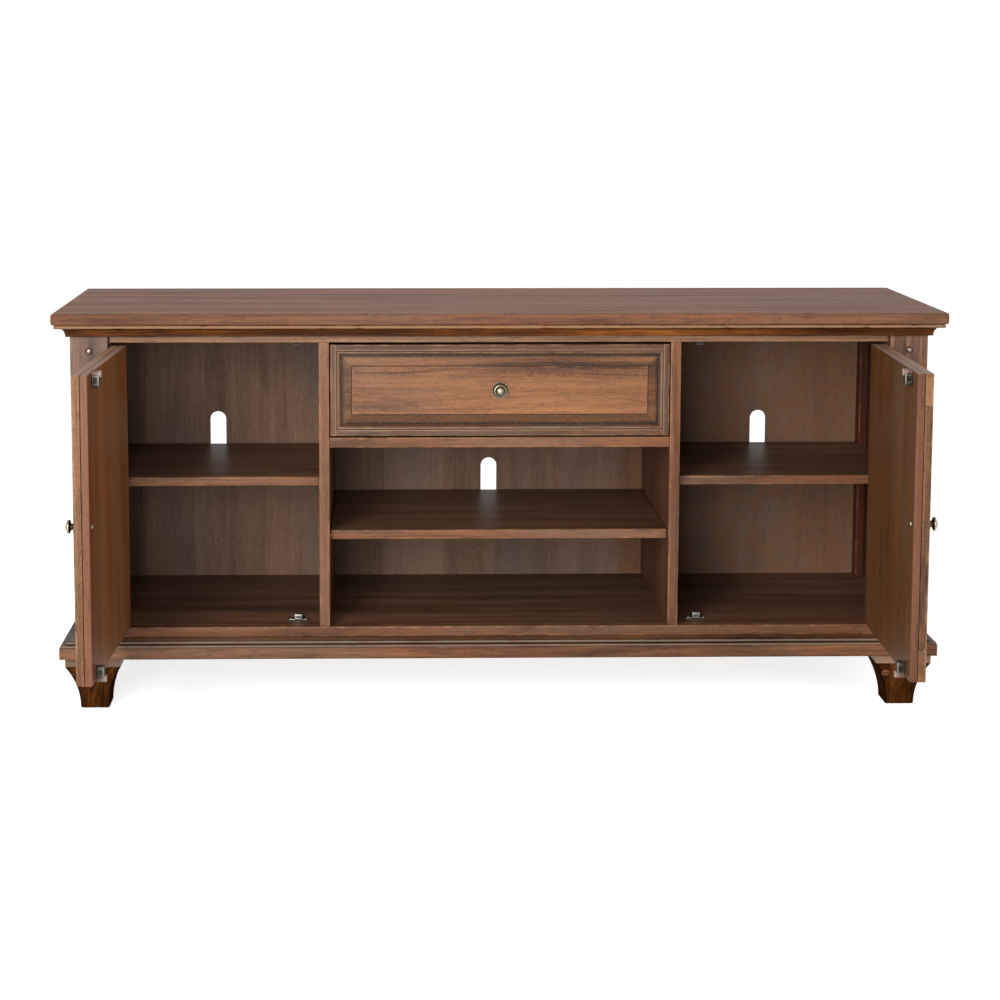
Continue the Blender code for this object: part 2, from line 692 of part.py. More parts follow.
def catch(name, x, seat, sense, case):
    def across(width):
        return x - width / 2, x + width / 2

    body_front = CATCH_FRONT_Y + CATCH_POLE_PROUD
    body = board(
        name, across(CATCH_BODY_WIDTH), (body_front, body_front + CATCH_BODY_DEPTH),
        ordered(seat, seat + sense * CATCH_BODY_HEIGHT), "bronze", case, ease=0.0004,
    )
    flange_y = body_front + (CATCH_BODY_DEPTH - CATCH_FLANGE_DEPTH) / 2
    flange = block_helper(
        name + "_flange", across(CATCH_FLANGE_WIDTH), (flange_y, flange_y + CATCH_FLANGE_DEPTH),
        ordered(seat, seat + sense * CATCH_FLANGE_THICKNESS), case,
    )
    combine(body, flange, "UNION")
    for number in (-1, 1):
        level = seat + sense * (CATCH_BODY_HEIGHT / 2 + number * CATCH_POLE_SPREAD / 2)
        pole_y = (CATCH_FRONT_Y, CATCH_FRONT_Y + CATCH_POLE_LENGTH)
        pole_z = (level - CATCH_POLE_THICKNESS / 2, level + CATCH_POLE_THICKNESS / 2)
        pole = block_helper(f"{name}_pole_{number + 1}", across(CATCH_POLE_WIDTH), pole_y, pole_z, case)
        combine(body, pole, "UNION")


def knob(name, parent, location):
    """A turned mushroom knob on a round plate, standing out towards the front."""
    plate = KNOB_PLATE_THICKNESS
    head = KNOB_HEAD_RADIUS
    profile = [
        (0.0, 0.0),
        (KNOB_PLATE_RADIUS, 0.0),
        (KNOB_PLATE_RADIUS, 0.6 * plate),
        (KNOB_PLATE_RADIUS - 0.4 * plate, plate),
        (1.35 * KNOB_NECK_RADIUS, plate),
        (KNOB_NECK_RADIUS, plate + 0.16 * KNOB_LENGTH),
        (KNOB_NECK_RADIUS, 0.45 * KNOB_LENGTH),
        (0.80 * head, 0.54 * KNOB_LENGTH),
        (head, 0.66 * KNOB_LENGTH),
        (head, 0.76 * KNOB_LENGTH),
        (0.90 * head, 0.84 * KNOB_LENGTH),
        (0.66 * head, 0.86 * KNOB_LENGTH),
        (0.60 * head, 0.92 * KNOB_LENGTH),
        (0.34 * head, 0.98 * KNOB_LENGTH),
        (0.0, KNOB_LENGTH),
    ]
    piece(name, lathe_shape(profile, ROUND_SIDES, -1), "bronze", parent, location, is_round=True)


def sticking(outer, front):
    """The quarter-round edge worked inside a frame, from its flat face down to the panel."""
    lip = 0.15 * STICKING_WIDTH
    drop = 0.2 * STICKING_DEPTH
    points = [(outer, front), (outer, front + drop)]
    for step in range(ARC_STEPS):
        turn = math.pi / 2 * step / (ARC_STEPS - 1)
        inset = outer + lip + (STICKING_WIDTH - lip) * math.sin(turn)
        points.append((inset, front + STICKING_DEPTH - (STICKING_DEPTH - drop) * math.cos(turn)))
    return points


def raised_field(outer, front):
    """The bevel that climbs from the groove to the panel's flat field."""
    return [
        (outer, front + PANEL_BEVEL_DEPTH),
        (outer + PANEL_BEVEL_WIDTH, front + PANEL_FIELD_DEPTH + PANEL_FIELD_STEP),
        (outer + PANEL_BEVEL_WIDTH, front + PANEL_FIELD_DEPTH),
    ]


def door_span(side, near, far):
    """Limits along X of a stretch of the closed door, measured from the pivot towards the free edge."""
    return ordered(-side * near, -side * far)


def door(side_name, side, opening, case):
    hinge = empty(f"door_{side_name}_hinge", (side * PIVOT_X, PIVOT_Y, 0.0), case, side * opening)
    stem = f"door_{side_name}"
    x = door_span(side, DOOR_NEAR, DOOR_FAR)
    z = (DOOR_BOTTOM, DOOR_TOP)
    front = DOOR_OUTER
    face_back = front + DOOR_FACE_THICKNESS
    frame_rings = [(0.0, face_back), (0.0, front + EDGE_EASE), (EDGE_EASE, front)]
    frame_rings += sticking(DOOR_STILE_WIDTH, front)
    frame_inner = DOOR_STILE_WIDTH + STICKING_WIDTH
    frame_rings.append((frame_inner, face_back))
    piece(stem + "_frame", ring_shape(x, z, frame_rings, True), "red_brown", hinge)
    panel_edge = frame_inner + SEAM
    panel_rings = [(panel_edge, face_back), (panel_edge, front + PANEL_BEVEL_DEPTH)]
    panel_rings += raised_field(panel_edge + PANEL_GROOVE_WIDTH, front)
    piece(stem + "_panel", ring_shape(x, z, panel_rings, False), "red_brown", hinge)
    board(stem + "_backing", x, (DOOR_BACKING_OUTER, DOOR_INNER), z, "red_brown", hinge)
    middle = (DOOR_BOTTOM + DOOR_TOP) / 2 + DOOR_KNOB_ABOVE_MIDDLE
    knob(stem + "_knob", hinge, (-side * (DOOR_FAR - DOOR_KNOB_FROM_EDGE), DOOR_OUTER - SEAM, middle))
    strikes(stem, side, hinge)
    hinges(side_name, side, hinge, case)


def strikes(stem, side, hinge):
    """Oval strikes on the door's inner face, whose round noses meet the catches when it shuts."""
    radius = STRIKE_PLATE_WIDTH / 2
    straight = STRIKE_PLATE_LENGTH - 2 * radius
    x = -side * (PIVOT_X - CATCH_X)
    seat = DOOR_INNER + SEAM
    nose = STRIKE_NOSE_RADIUS
    root = STRIKE_PLATE_THICKNESS
    length = STRIKE_NOSE_LENGTH - SEAM
    proud = length - root
    profile = [
        (0.0, 0.4 * root),
        (nose, 0.4 * root),
        (nose, root + 0.25 * proud),
        (0.85 * nose, root + 0.35 * proud),
        (0.85 * nose, root + 0.50 * proud),
        (nose, root + 0.60 * proud),
        (nose, root + 0.85 * proud),
        (0.80 * nose, length),
        (0.0, length),
    ]
    for end, edge, sense in (("bottom", DOOR_BOTTOM, 1), ("top", DOOR_TOP, -1)):
        level = edge + sense * STRIKE_NOSE_FROM_EDGE
        near = edge + sense * (radius + EDGE_EASE)
        far = near + sense * straight
        low, high = ordered(near, far)
        outline = arc((0.0, high), radius, 0, 180, 6) + arc((0.0, low), radius, 180, 360, 6)
        plate = prism_shape(outline, root, lambda point, along: (point[0], along, point[1]))
        strike = piece(f"{stem}_strike_{end}", plate, "steel", hinge, (x, seat, 0.0))
        head = helper(
            f"{stem}_strike_{end}_nose", lathe_shape(profile, SMALL_ROUND_SIDES, 1), hinge, (x, seat, level)
        )
        combine(strike, head, "UNION")


def comb_outline(root, tip, far, teeth):
    """A hinge leaf seen flat: a plate from root to far, with a tooth out to tip at each of its knuckles."""
    half = HINGE_LENGTH / 2
    outline = [(far, -half), (far, half)]
    for low, high in reversed(teeth):
        at_top = math.isclose(high, half)
        at_bottom = math.isclose(low, -half)
        if not at_top:
            outline += [] if outline[-1][0] == root else [(root, half)]
            outline.append((root, high))
        outline += [(tip, high), (tip, low)]
        if not at_bottom:
            outline.append((root, low))
    if outline[-1][0] == root:
        outline.append((root, -half))
    return outline


def knuckle_spans(own):
    """Lower and upper limits of every second knuckle of the barrel, counted from 0 or from 1."""
    pitch = (HINGE_LENGTH + HINGE_RUNNING_GAP) / HINGE_KNUCKLES
    spans = []
    for number in range(own, HINGE_KNUCKLES, 2):
        low = -HINGE_LENGTH / 2 + number * pitch
        spans.append((low, low + pitch - HINGE_RUNNING_GAP))
    return spans


def hinge_leaf(name, own, plate_x, parent, location):
    """One leaf of a butt hinge about its pivot, with its share of the barrel's knuckles."""
    spans = knuckle_spans(own)
    root = HINGE_KNUCKLE_RADIUS + HINGE_LEAF_GAP
    far = root + HINGE_LEAF_WIDTH
    low_x, high_x = ordered(*plate_x)
    outline = comb_outline(root, 0.0, far, spans)
    plate = prism_shape(outline, high_x - low_x, lambda point, along: (low_x + along, point[0], point[1]))
    leaf = piece(name, plate, "brass", parent, location)
    for number, (low, high) in enumerate(spans):
        place = (location[0], location[1], location[2] + (low + high) / 2)
        barrel = cylinder_shape(HINGE_KNUCKLE_RADIUS, high - low, UPRIGHT, SMALL_ROUND_SIDES)
        knuckle = helper(f"{name}_knuckle_{number}", barrel, parent, place)
        combine(leaf, knuckle, "UNION")
    return leaf


def hinges(side_name, side, door_empty, case):
    """Two butt hinges: one leaf on the post's inner face with the pin, one on the door's edge."""
    post_leaf = (side * HINGE_KNUCKLE_RADIUS, side * (HINGE_KNUCKLE_RADIUS - HINGE_LEAF_THICKNESS))
    door_edge = -DOOR_NEAR + SEAM
    door_leaf = (side * door_edge, side * (door_edge + HINGE_LEAF_THICKNESS))
    heights = {"top": DOOR_TOP - HINGE_FROM_TOP, "bottom": DOOR_BOTTOM + HINGE_FROM_BOTTOM}
    for end, z in heights.items():
        pivot = (side * PIVOT_X, PIVOT_Y, z)
        post = hinge_leaf(f"hinge_{side_name}_{end}_post_leaf", 0, post_leaf, case, pivot)
        rod = cylinder_shape(HINGE_PIN_RADIUS, HINGE_LENGTH - SEAM, UPRIGHT, SMALL_ROUND_SIDES)
        pin = helper(f"hinge_{side_name}_{end}_pin", rod, case, pivot)
        combine(post, pin, "UNION")
        middle = (0.0, 0.0, z)
        own = hinge_leaf(f"hinge_{side_name}_{end}_door_leaf", 1, door_leaf, door_empty, middle)
        hole = cylinder_shape(HINGE_PIN_RADIUS + HINGE_RUNNING_GAP, HINGE_LENGTH, UPRIGHT, SMALL_ROUND_SIDES)
        bore = helper(f"hinge_{side_name}_{end}_bore", hole, door_empty, middle)
        combine(own, bore, "DIFFERENCE")


def drawer(case):
    """An inset drawer: a raised-panel front on a box that slides on its deck between the dividers."""
    slide = empty("drawer_slide", (0.0, FACE_Y, DRAWER_DECK_TOP), case)
    x = (-DIVIDER_IN_X + DRAWER_SIDE_GAP, DIVIDER_IN_X - DRAWER_SIDE_GAP)
    z = (DRAWER_LIFT, DRAWER_OPENING_HEIGHT - DRAWER_TOP_GAP)
    rings = [(0.0, DRAWER_FRONT_THICKNESS), (0.0, EDGE_EASE), (EDGE_EASE, 0.0)]
    rings += sticking(DRAWER_BAND_WIDTH, 0.0)
    groove = DRAWER_BAND_WIDTH + STICKING_WIDTH
    rings.append((groove, PANEL_BEVEL_DEPTH))
    rings += raised_field(groove + PANEL_GROOVE_WIDTH, 0.0)
    piece("drawer_front", ring_shape(x, z, rings, False), "red_brown", slide)
    knob("drawer_knob", slide, (0.0, PANEL_FIELD_DEPTH - SEAM, (z[0] + z[1]) / 2))

    outer = DIVIDER_IN_X - DRAWER_BOX_CLEARANCE
    inner = outer - DRAWER_BOARD_THICKNESS
    start = DRAWER_FRONT_THICKNESS + SEAM
    end = start + DRAWER_BOX_LENGTH
    height = (SEAM, SEAM + DRAWER_BOX_HEIGHT)
    for side_name, side in SIDES.items():
        limits = ordered(side * inner, side * outer)
        board(f"drawer_side_{side_name}", limits, (start, end), height, "drawer_wood", slide)
    between = (-inner + SEAM, inner - SEAM)
    board("drawer_back", between, (end - DRAWER_BOARD_THICKNESS, end), height, "drawer_wood", slide)
    board(
        "drawer_bottom", between, (start, end - DRAWER_BOARD_THICKNESS - SEAM),
        (DRAWER_BOTTOM_RISE, DRAWER_BOTTOM_RISE + DRAWER_BOTTOM_THICKNESS), "drawer_wood", slide, ease=0.0,
    )


def build():
    clear_scene()
    case = empty("case", (0.0, CASE_SHIFT_Y, 0.0))
    top_and_base(case)
    feet(case)
    posts_and_panels(case)
    decks_and_rails(case)
    dividers(case)
    shelves(case)
    back_panel(case)
    studs(case)
    catches(case)
    door("left", SIDES["left"], DOOR_OPEN_LEFT, case)
    door("right", SIDES["right"], DOOR_OPEN_RIGHT, case)
    drawer(case)


build()
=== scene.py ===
"""Dressed model of a media console in worn red-brown wood, with open side doors and a drawer.

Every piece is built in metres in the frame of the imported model. X points to the right, Y to the back, and
Z up from the floor.
"""

import json
import logging
import math
import random
from dataclasses import dataclass, field, fields, replace
from enum import Enum
from functools import cache
from typing import Callable, ClassVar, Iterable, Sequence

import bmesh
import bpy
from mathutils import Matrix, Vector


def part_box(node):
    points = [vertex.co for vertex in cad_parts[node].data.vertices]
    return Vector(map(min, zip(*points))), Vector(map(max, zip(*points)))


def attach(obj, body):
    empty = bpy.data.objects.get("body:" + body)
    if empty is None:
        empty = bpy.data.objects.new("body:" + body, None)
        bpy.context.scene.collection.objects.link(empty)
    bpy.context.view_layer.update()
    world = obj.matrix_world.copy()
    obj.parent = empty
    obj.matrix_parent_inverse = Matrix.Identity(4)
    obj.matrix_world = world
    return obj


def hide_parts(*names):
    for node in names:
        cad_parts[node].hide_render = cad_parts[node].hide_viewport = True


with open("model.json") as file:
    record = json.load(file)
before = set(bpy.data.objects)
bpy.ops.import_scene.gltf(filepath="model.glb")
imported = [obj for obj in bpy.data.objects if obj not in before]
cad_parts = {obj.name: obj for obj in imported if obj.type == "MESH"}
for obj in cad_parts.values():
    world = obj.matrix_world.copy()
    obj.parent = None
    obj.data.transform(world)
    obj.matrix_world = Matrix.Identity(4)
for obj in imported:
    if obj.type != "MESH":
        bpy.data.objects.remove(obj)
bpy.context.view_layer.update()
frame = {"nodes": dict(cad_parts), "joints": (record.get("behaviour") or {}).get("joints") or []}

LOG = logging.getLogger("console")
SEAM = 0.0003  # gap between pieces that touch
SHARP_ANGLE = math.radians(32)
# RUBBED also paints the pale sheen on the doors' top ends.
RUBBED = 2.0  # wear of what is rubbed bare all along
ARRIS = 0.0012  # radius of an ordinary arris
WEAR_LINE = 0.004  # how far wear reaches from an arris
LIPPING = 0.007  # depth of the solid strip on a veneered board's front edge
LIPPING_GAP = 0.0001
TOUCH = 0.0001  # how close a point has to lie to count as on a face
PROUD_BAND = 0.005  # below an upright's top, where nothing stands proud of it
HIDDEN_ROOT = 0.001  # how far a turned piece is sunk into what carries it
TO_FRONT = (0.0, -1.0, 0.0)
TO_BACK = (0.0, 1.0, 0.0)

Colour = tuple[float, float, float]
Point = tuple[float, float, float]
Flat = tuple[float, float]
Turned = tuple[float, float, float, float]
Place = Callable[[float, float, float], Point]
Socket = bpy.types.NodeSocket
Shape = bmesh.types.BMesh
Vert = bmesh.types.BMVert


class Body(Enum):
    """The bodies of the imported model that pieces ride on."""

    CASE = "case"
    LEFT_DOOR = "left_door"
    RIGHT_DOOR = "right_door"
    DRAWER = "drawer"


class Slot(Enum):
    """The material slots of the record."""

    TOP = "top_wood"
    FACE = "face_wood"
    FOOT = "foot_wood"
    SHELF = "shelf_wood"
    INNER = "inner_wood"
    DOOR_BACK = "door_back_wood"
    DRAWER_BOX = "drawer_box_wood"
    BRONZE = "dark_bronze"
    BRASS = "aged_brass"
    CATCH = "catch_metal"
    STRIKE = "strike_steel"


class Run(Enum):
    """Which axes the grain of a board runs along, across and through."""

    LEVEL = (0, 1, 2)
    LEVEL_UPRIGHT = (0, 2, 1)
    DEEP = (1, 0, 2)
    UPRIGHT = (2, 0, 1)
    UPRIGHT_SIDE = (2, 1, 0)


class Side(Enum):
    """The two sides of the console, by their sign along X."""

    LEFT = -1
    RIGHT = 1

    @property
    def word(self) -> str:
        """The side's name in node names."""
        return self.name.lower()


@dataclass(frozen=True)
class Layer:
    """One noise of a wood's pattern, with its frequencies along and across the grain."""

    along: float
    across: float
    detail: float = 3.0
    rough: float = 0.5
    warp: float = 0.0
    scale: float = 1.0


DRIFT = Layer(1.3, 5.0, detail=2.0)
BANDS = Layer(1.4, 26.0, detail=5.0, rough=0.62)
LINES = Layer(7.0, 190.0, detail=4.0, rough=0.6)
PORES = Layer(60.0, 900.0, detail=2.0)
DASHES = Layer(20.0, 240.0, rough=0.55)
CLOUDS = Layer(4.0, 11.0, detail=5.0, rough=0.6, warp=0.6)
TINTS = Layer(1.7, 5.5, rough=0.55, warp=0.3)
SPECKS = Layer(260.0, 620.0, rough=0.7)
PATCHES = Layer(1.0, 1.3, detail=4.0, rough=0.65, scale=30.0)


class Tree:
    """Short ways to add shader nodes to one node tree and to join them."""

    def __init__(self, tree: bpy.types.NodeTree) -> None:
        """Keeps the tree that the nodes go into."""
        self.tree = tree

    def add(self, kind: str, **settings: object) -> bpy.types.Node:
        """Adds a node.

        Args:
            kind: The node's type, such as ShaderNodeMath.
            settings: Attributes that are set on the new node.

        Returns:
            The new node.
        """
        made = self.tree.nodes.new(kind)
        for name, value in settings.items():
            setattr(made, name, value)
        return made

    def feed(self, socket: Socket, value: object) -> None:
        """Links a socket to an input, or sets the input's own value.

        Args:
            socket: The input.
            value: An output socket, a number, a vector or a colour.
        """
        if isinstance(value, Socket):
            self.tree.links.new(value, socket)
        elif isinstance(value, tuple) and socket.type == "RGBA":
            socket.default_value = (*value, 1.0)
        else:
            socket.default_value = value

    def math(self, operation: str, first: object, second: object = 0.0, clamp: bool = False) -> Socket:
        """Adds one sum of two values.

        Args:
            operation: The Math node's operation.
            first: The first value or socket.
            second: The second value or socket.
            clamp: Whether the result stays between 0 and 1.

        Returns:
            The result's socket.
        """
        node = self.add("ShaderNodeMath", operation=operation, use_clamp=clamp)
        self.feed(node.inputs[0], first)
        self.feed(node.inputs[1], second)
        return node.outputs[0]

    def plus(self, first: object, second: object, clamp: bool = False) -> Socket:
        """Adds two values."""
        return self.math("ADD", first, second, clamp)

    def times(self, first: object, second: object, clamp: bool = False) -> Socket:
        """Multiplies two values."""
        return self.math("MULTIPLY", first, second, clamp)

    def swing(self, value: object, gain: object, mean: float = 0.5) -> Socket:
        """Scales how far a value lies from its mean.

        Args:
            value: The value or socket.
            gain: The factor or its socket.
            mean: The value's mean.

        Returns:
            The result's socket.
        """
        return self.times(self.math("SUBTRACT", value, mean), gain)

    def noise(
        self, place: Socket, scale: float, detail: float = 3.0, rough: float = 0.5, warp: float = 0.0,
    ) -> Socket:
        """Adds a cloudy noise.

        Args:
            place: Where the noise is read.
            scale: Its frequency.
            detail: Its octaves.
            rough: How strong the finer octaves are.
            warp: How much it is distorted.

        Returns:
            The noise's value, about 0.5 in the mean.
        """
        node = self.add("ShaderNodeTexNoise")
        self.feed(node.inputs["Vector"], place)
        node.inputs["Scale"].default_value = scale
        node.inputs["Detail"].default_value = detail
        node.inputs["Roughness"].default_value = rough
        node.inputs["Distortion"].default_value = warp
        return node.outputs[0]

    def layer(self, place: Socket, layer: Layer) -> Socket:
        """Adds one noise of a wood's pattern, stretched along the grain.

        Args:
            place: Where the noise is read.
            layer: Its frequencies and its kind.

        Returns:
            The noise's value.
        """
        node = self.add("ShaderNodeVectorMath", operation="MULTIPLY")
        self.feed(node.inputs[0], place)
        self.feed(node.inputs[1], (layer.along, layer.across, layer.across))
        return self.noise(node.outputs[0], layer.scale, layer.detail, layer.rough, layer.warp)

    def cells(self, place: Socket, scale: float) -> Socket:
        """Adds the distance to the nearest of scattered points.

        Args:
            place: Where the distance is read.
            scale: How close together the points lie.

        Returns:
            The distance's socket.
        """
        node = self.add("ShaderNodeTexVoronoi", feature="F1")
        self.feed(node.inputs["Vector"], place)
        node.inputs["Scale"].default_value = scale
        return node.outputs["Distance"]

    def between(
        self, value: object, low: float, high: float, start: float = 0.0, end: float = 1.0,
    ) -> Socket:
        """Maps a stretch of values onto another one, smoothly and held at both ends.

        Args:
            value: The value or socket.
            low: Where the stretch starts.
            high: Where it ends.
            start: What low becomes.
            end: What high becomes.

        Returns:
            The mapped value's socket.
        """
        node = self.add("ShaderNodeMapRange", interpolation_type="SMOOTHSTEP")
        for socket, number in zip(node.inputs, (value, low, high, start, end)):
            self.feed(socket, number)
        return node.outputs[0]

    def mix(self, share: object, first: object, second: object, blend: str = "MIX") -> Socket:
        """Mixes two colours.

        Args:
            share: How much of the second colour is used.
            first: The first colour or socket.
            second: The second colour or socket.
            blend: The way of mixing.

        Returns:
            The mixed colour's socket.
        """
        node = self.add("ShaderNodeMix", data_type="RGBA", blend_type=blend, clamp_factor=True)
        colours = [socket for socket in node.inputs if socket.type == "RGBA"]
        self.feed(node.inputs[0], share)
        self.feed(colours[0], first)
        self.feed(colours[1], second)
        return next(socket for socket in node.outputs if socket.type == "RGBA")


class Effect:
    """A shader effect with named inputs and outputs, kept as one node group."""

    def __init__(self, title: str, inputs: dict[str, str], outputs: dict[str, str]) -> None:
        """Makes the empty group.

        Args:
            title: The group's name.
            inputs: Socket type of each named input.
            outputs: Socket type of each named output.
        """
        self.group = bpy.data.node_groups.new(title, "ShaderNodeTree")
        for way, sockets in (("INPUT", inputs), ("OUTPUT", outputs)):
            for name, kind in sockets.items():
                self.group.interface.new_socket(name, in_out=way, socket_type=kind)
        self.tree = Tree(self.group)
        self.source = self.tree.add("NodeGroupInput").outputs
        self.target = self.tree.add("NodeGroupOutput").inputs


@cache
def worn_wood() -> bpy.types.NodeTree:
    """Builds the effect that all woods share: streaks, staves, pores, smudges, marks, wear and grime, whose
    masks in places carry painted shade and a painted sheen.

    Returns:
        The node group.
    """
    numbers = (
        "Streaks", "Grey", "Smudges", "Flecks", "Speckle", "Marks", "Stave", "Rub", "Wear", "Grime",
        "Roughness",
    )
    inputs = {"Place": "NodeSocketVector"}
    inputs.update({name: "NodeSocketColor" for name in ("Light", "Middle", "Dark", "Ashen", "Worn")})
    inputs.update({name: "NodeSocketFloat" for name in numbers})
    outputs = {"Color": "NodeSocketColor", "Roughness": "NodeSocketFloat", "Height": "NodeSocketFloat"}
    effect = Effect("worn_wood", inputs, outputs)
    tree, source = effect.tree, effect.source
    place = source["Place"]

    shift = tree.add("ShaderNodeCombineXYZ")
    tree.feed(shift.inputs[1], tree.swing(tree.layer(place, DRIFT), 0.05))
    bent = tree.add("ShaderNodeVectorMath", operation="ADD")
    tree.feed(bent.inputs[0], place)
    tree.feed(bent.inputs[1], shift.outputs[0])
    bent_place = bent.outputs[0]
    band, line, pore, dash = (tree.layer(bent_place, layer) for layer in (BANDS, LINES, PORES, DASHES))
    cloud, tint, grain, patch = (tree.layer(place, layer) for layer in (CLOUDS, TINTS, SPECKS, PATCHES))
    mottle = tree.noise(place, scale=160.0, detail=3.0, rough=0.6)

    split = tree.add("ShaderNodeSeparateXYZ")
    tree.feed(split.inputs[0], place)
    stave = tree.math("FLOOR", tree.math("DIVIDE", split.outputs[1], source["Stave"]))
    random_tone = tree.add("ShaderNodeTexWhiteNoise", noise_dimensions="1D")
    tree.feed(random_tone.inputs["W"], stave)
    stave_tone = tree.swing(random_tone.outputs[0], 0.34)

    streak = tree.swing(band, source["Streaks"])
    fine = tree.swing(line, tree.times(source["Streaks"], 0.45))
    tone = tree.plus(tree.plus(streak, fine), tree.plus(stave_tone, 0.5))
    tone = tree.plus(tone, tree.swing(grain, source["Speckle"]))
    low = tree.times(tone, 2.0, clamp=True)
    high = tree.math("SUBTRACT", tree.times(tone, 2.0), 1.0, clamp=True)
    colour = tree.mix(high, tree.mix(low, source["Dark"], source["Middle"]), source["Light"])
    greyness = tree.plus(tree.between(tint, 0.44, 0.66), tree.times(stave_tone, 3.0))
    ashen = tree.times(greyness, source["Grey"], clamp=True)
    colour = tree.mix(ashen, colour, source["Ashen"])

    black = tree.mix(0.86, source["Dark"], (0.004, 0.003, 0.002))
    smudge = tree.times(tree.between(cloud, 0.52, 0.72), source["Smudges"])
    colour = tree.mix(smudge, colour, black)
    fleck = tree.times(tree.between(pore, 0.57, 0.70), source["Flecks"])
    colour = tree.mix(fleck, colour, black)
    stroke = tree.times(tree.between(dash, 0.56, 0.74), source["Flecks"])
    colour = tree.mix(stroke, colour, black)
    spot = tree.between(tree.cells(place, 26.0), 0.035, 0.075, 1.0, 0.0)
    spot = tree.times(spot, tree.between(tree.noise(place, 9.0, 1.0), 0.50, 0.60))
    mark = tree.times(spot, source["Marks"])
    colour = tree.mix(mark, colour, black)

    rubbed = tree.plus(source["Wear"], tree.swing(patch, 4.0, 0.56))
    rubbed = tree.plus(rubbed, tree.swing(mottle, 0.8))
    edge = tree.between(source["Wear"], 0.15, 0.75)
    bare = tree.times(tree.between(rubbed, 0.45, 1.25), tree.times(edge, source["Rub"]))
    colour = tree.mix(bare, colour, source["Worn"])
    darkness = tree.times(source["Grime"], tree.between(mottle, 0.2, 0.62, 0.7, 1.0), clamp=True)
    colour = tree.mix(darkness, colour, black)
    tree.feed(effect.target["Color"], colour)

    rough = tree.plus(source["Roughness"], tree.swing(line, 0.16))
    rough = tree.plus(rough, tree.times(fleck, 0.12))
    rough = tree.plus(rough, tree.times(tree.plus(smudge, darkness), 0.10), clamp=True)
    tree.feed(effect.target["Roughness"], rough)
    height = tree.times(line, 0.35)
    height = tree.plus(height, tree.times(band, 0.45))
    height = tree.math("SUBTRACT", height, tree.times(fleck, 0.35))
    height = tree.math("SUBTRACT", height, mark)
    tree.feed(effect.target["Height"], height)
    return effect.group


@cache
def aged_metal() -> bpy.types.NodeTree:
    """Builds the effect that all metals share: a dark patina, rubbed bright where hands touch it.

    Returns:
        The node group.
    """
    inputs = {"Place": "NodeSocketVector", "Bright": "NodeSocketColor", "Patina": "NodeSocketColor"}
    inputs.update({name: "NodeSocketFloat" for name in ("Cover", "Wear", "Grime", "Roughness")})
    outputs = {"Color": "NodeSocketColor", "Roughness": "NodeSocketFloat", "Height": "NodeSocketFloat"}
    effect = Effect("aged_metal", inputs, outputs)
    tree, source = effect.tree, effect.source
    place = source["Place"]
    cloud = tree.noise(place, scale=220.0, detail=4.0, rough=0.6, warp=0.3)
    grit = tree.noise(place, scale=1400.0, detail=3.0, rough=0.6)
    cover = tree.plus(source["Cover"], tree.swing(cloud, 1.1))
    cover = tree.math("SUBTRACT", cover, tree.times(source["Wear"], 0.75))
    cover = tree.plus(cover, tree.times(source["Grime"], 0.8), clamp=True)
    tree.feed(effect.target["Color"], tree.mix(cover, source["Bright"], source["Patina"]))
    rough = tree.plus(source["Roughness"], tree.times(cover, 0.22))
    rough = tree.plus(rough, tree.swing(grit, 0.14), clamp=True)
    tree.feed(effect.target["Roughness"], rough)
    height = tree.plus(tree.times(cloud, 0.7), tree.times(grit, 0.3))
    tree.feed(effect.target["Height"], height)
    return effect.group


def dressed_material(
    title: str, build: Callable[[], bpy.types.NodeTree], values: dict[str, object], own_grain: bool,
    bump: Flat, turn: Point = (0.0, 0.0, 0.0),
) -> tuple[bpy.types.Material, bpy.types.Node]:
    """Makes a material whose shader is fed by one of the shared effects.

    Args:
        title: The material's name.
        build: The function that builds the effect.
        values: The effect's own values, by socket name.
        own_grain: Whether the pattern follows the grain kept on the mesh, or else the piece's own axes.
        bump: How strong the relief is, and how deep in metres.
        turn: Angles that turn the piece's own axes to the grain.

    Returns:
        The material and its shader node.
    """
    made = bpy.data.materials.new(f"{title}_finish")
    made.use_nodes = True
    tree = Tree(made.node_tree)
    shader = made.node_tree.nodes["Principled BSDF"]
    effect = tree.add("ShaderNodeGroup", node_tree=build())
    for name, value in values.items():
        tree.feed(effect.inputs[name], value)
    if own_grain:
        place = tree.add("ShaderNodeAttribute", attribute_name="grain").outputs["Vector"]
    else:
        mapped = tree.add("ShaderNodeMapping")
        mapped.inputs["Rotation"].default_value = turn
        tree.feed(mapped.inputs["Vector"], tree.add("ShaderNodeTexCoord").outputs["Object"])
        place = mapped.outputs[0]
    tree.feed(effect.inputs["Place"], place)
    for mask in ("Wear", "Grime"):
        marks = tree.add("ShaderNodeAttribute", attribute_name=mask.lower())
        tree.feed(effect.inputs[mask], marks.outputs["Fac"])
    tree.feed(shader.inputs["Base Color"], effect.outputs["Color"])
    tree.feed(shader.inputs["Roughness"], effect.outputs["Roughness"])
    relief = tree.add("ShaderNodeBump")
    relief.inputs["Strength"].default_value, relief.inputs["Distance"].default_value = bump
    tree.feed(relief.inputs["Height"], effect.outputs["Height"])
    tree.feed(shader.inputs["Normal"], relief.outputs[0])
    return made, shader


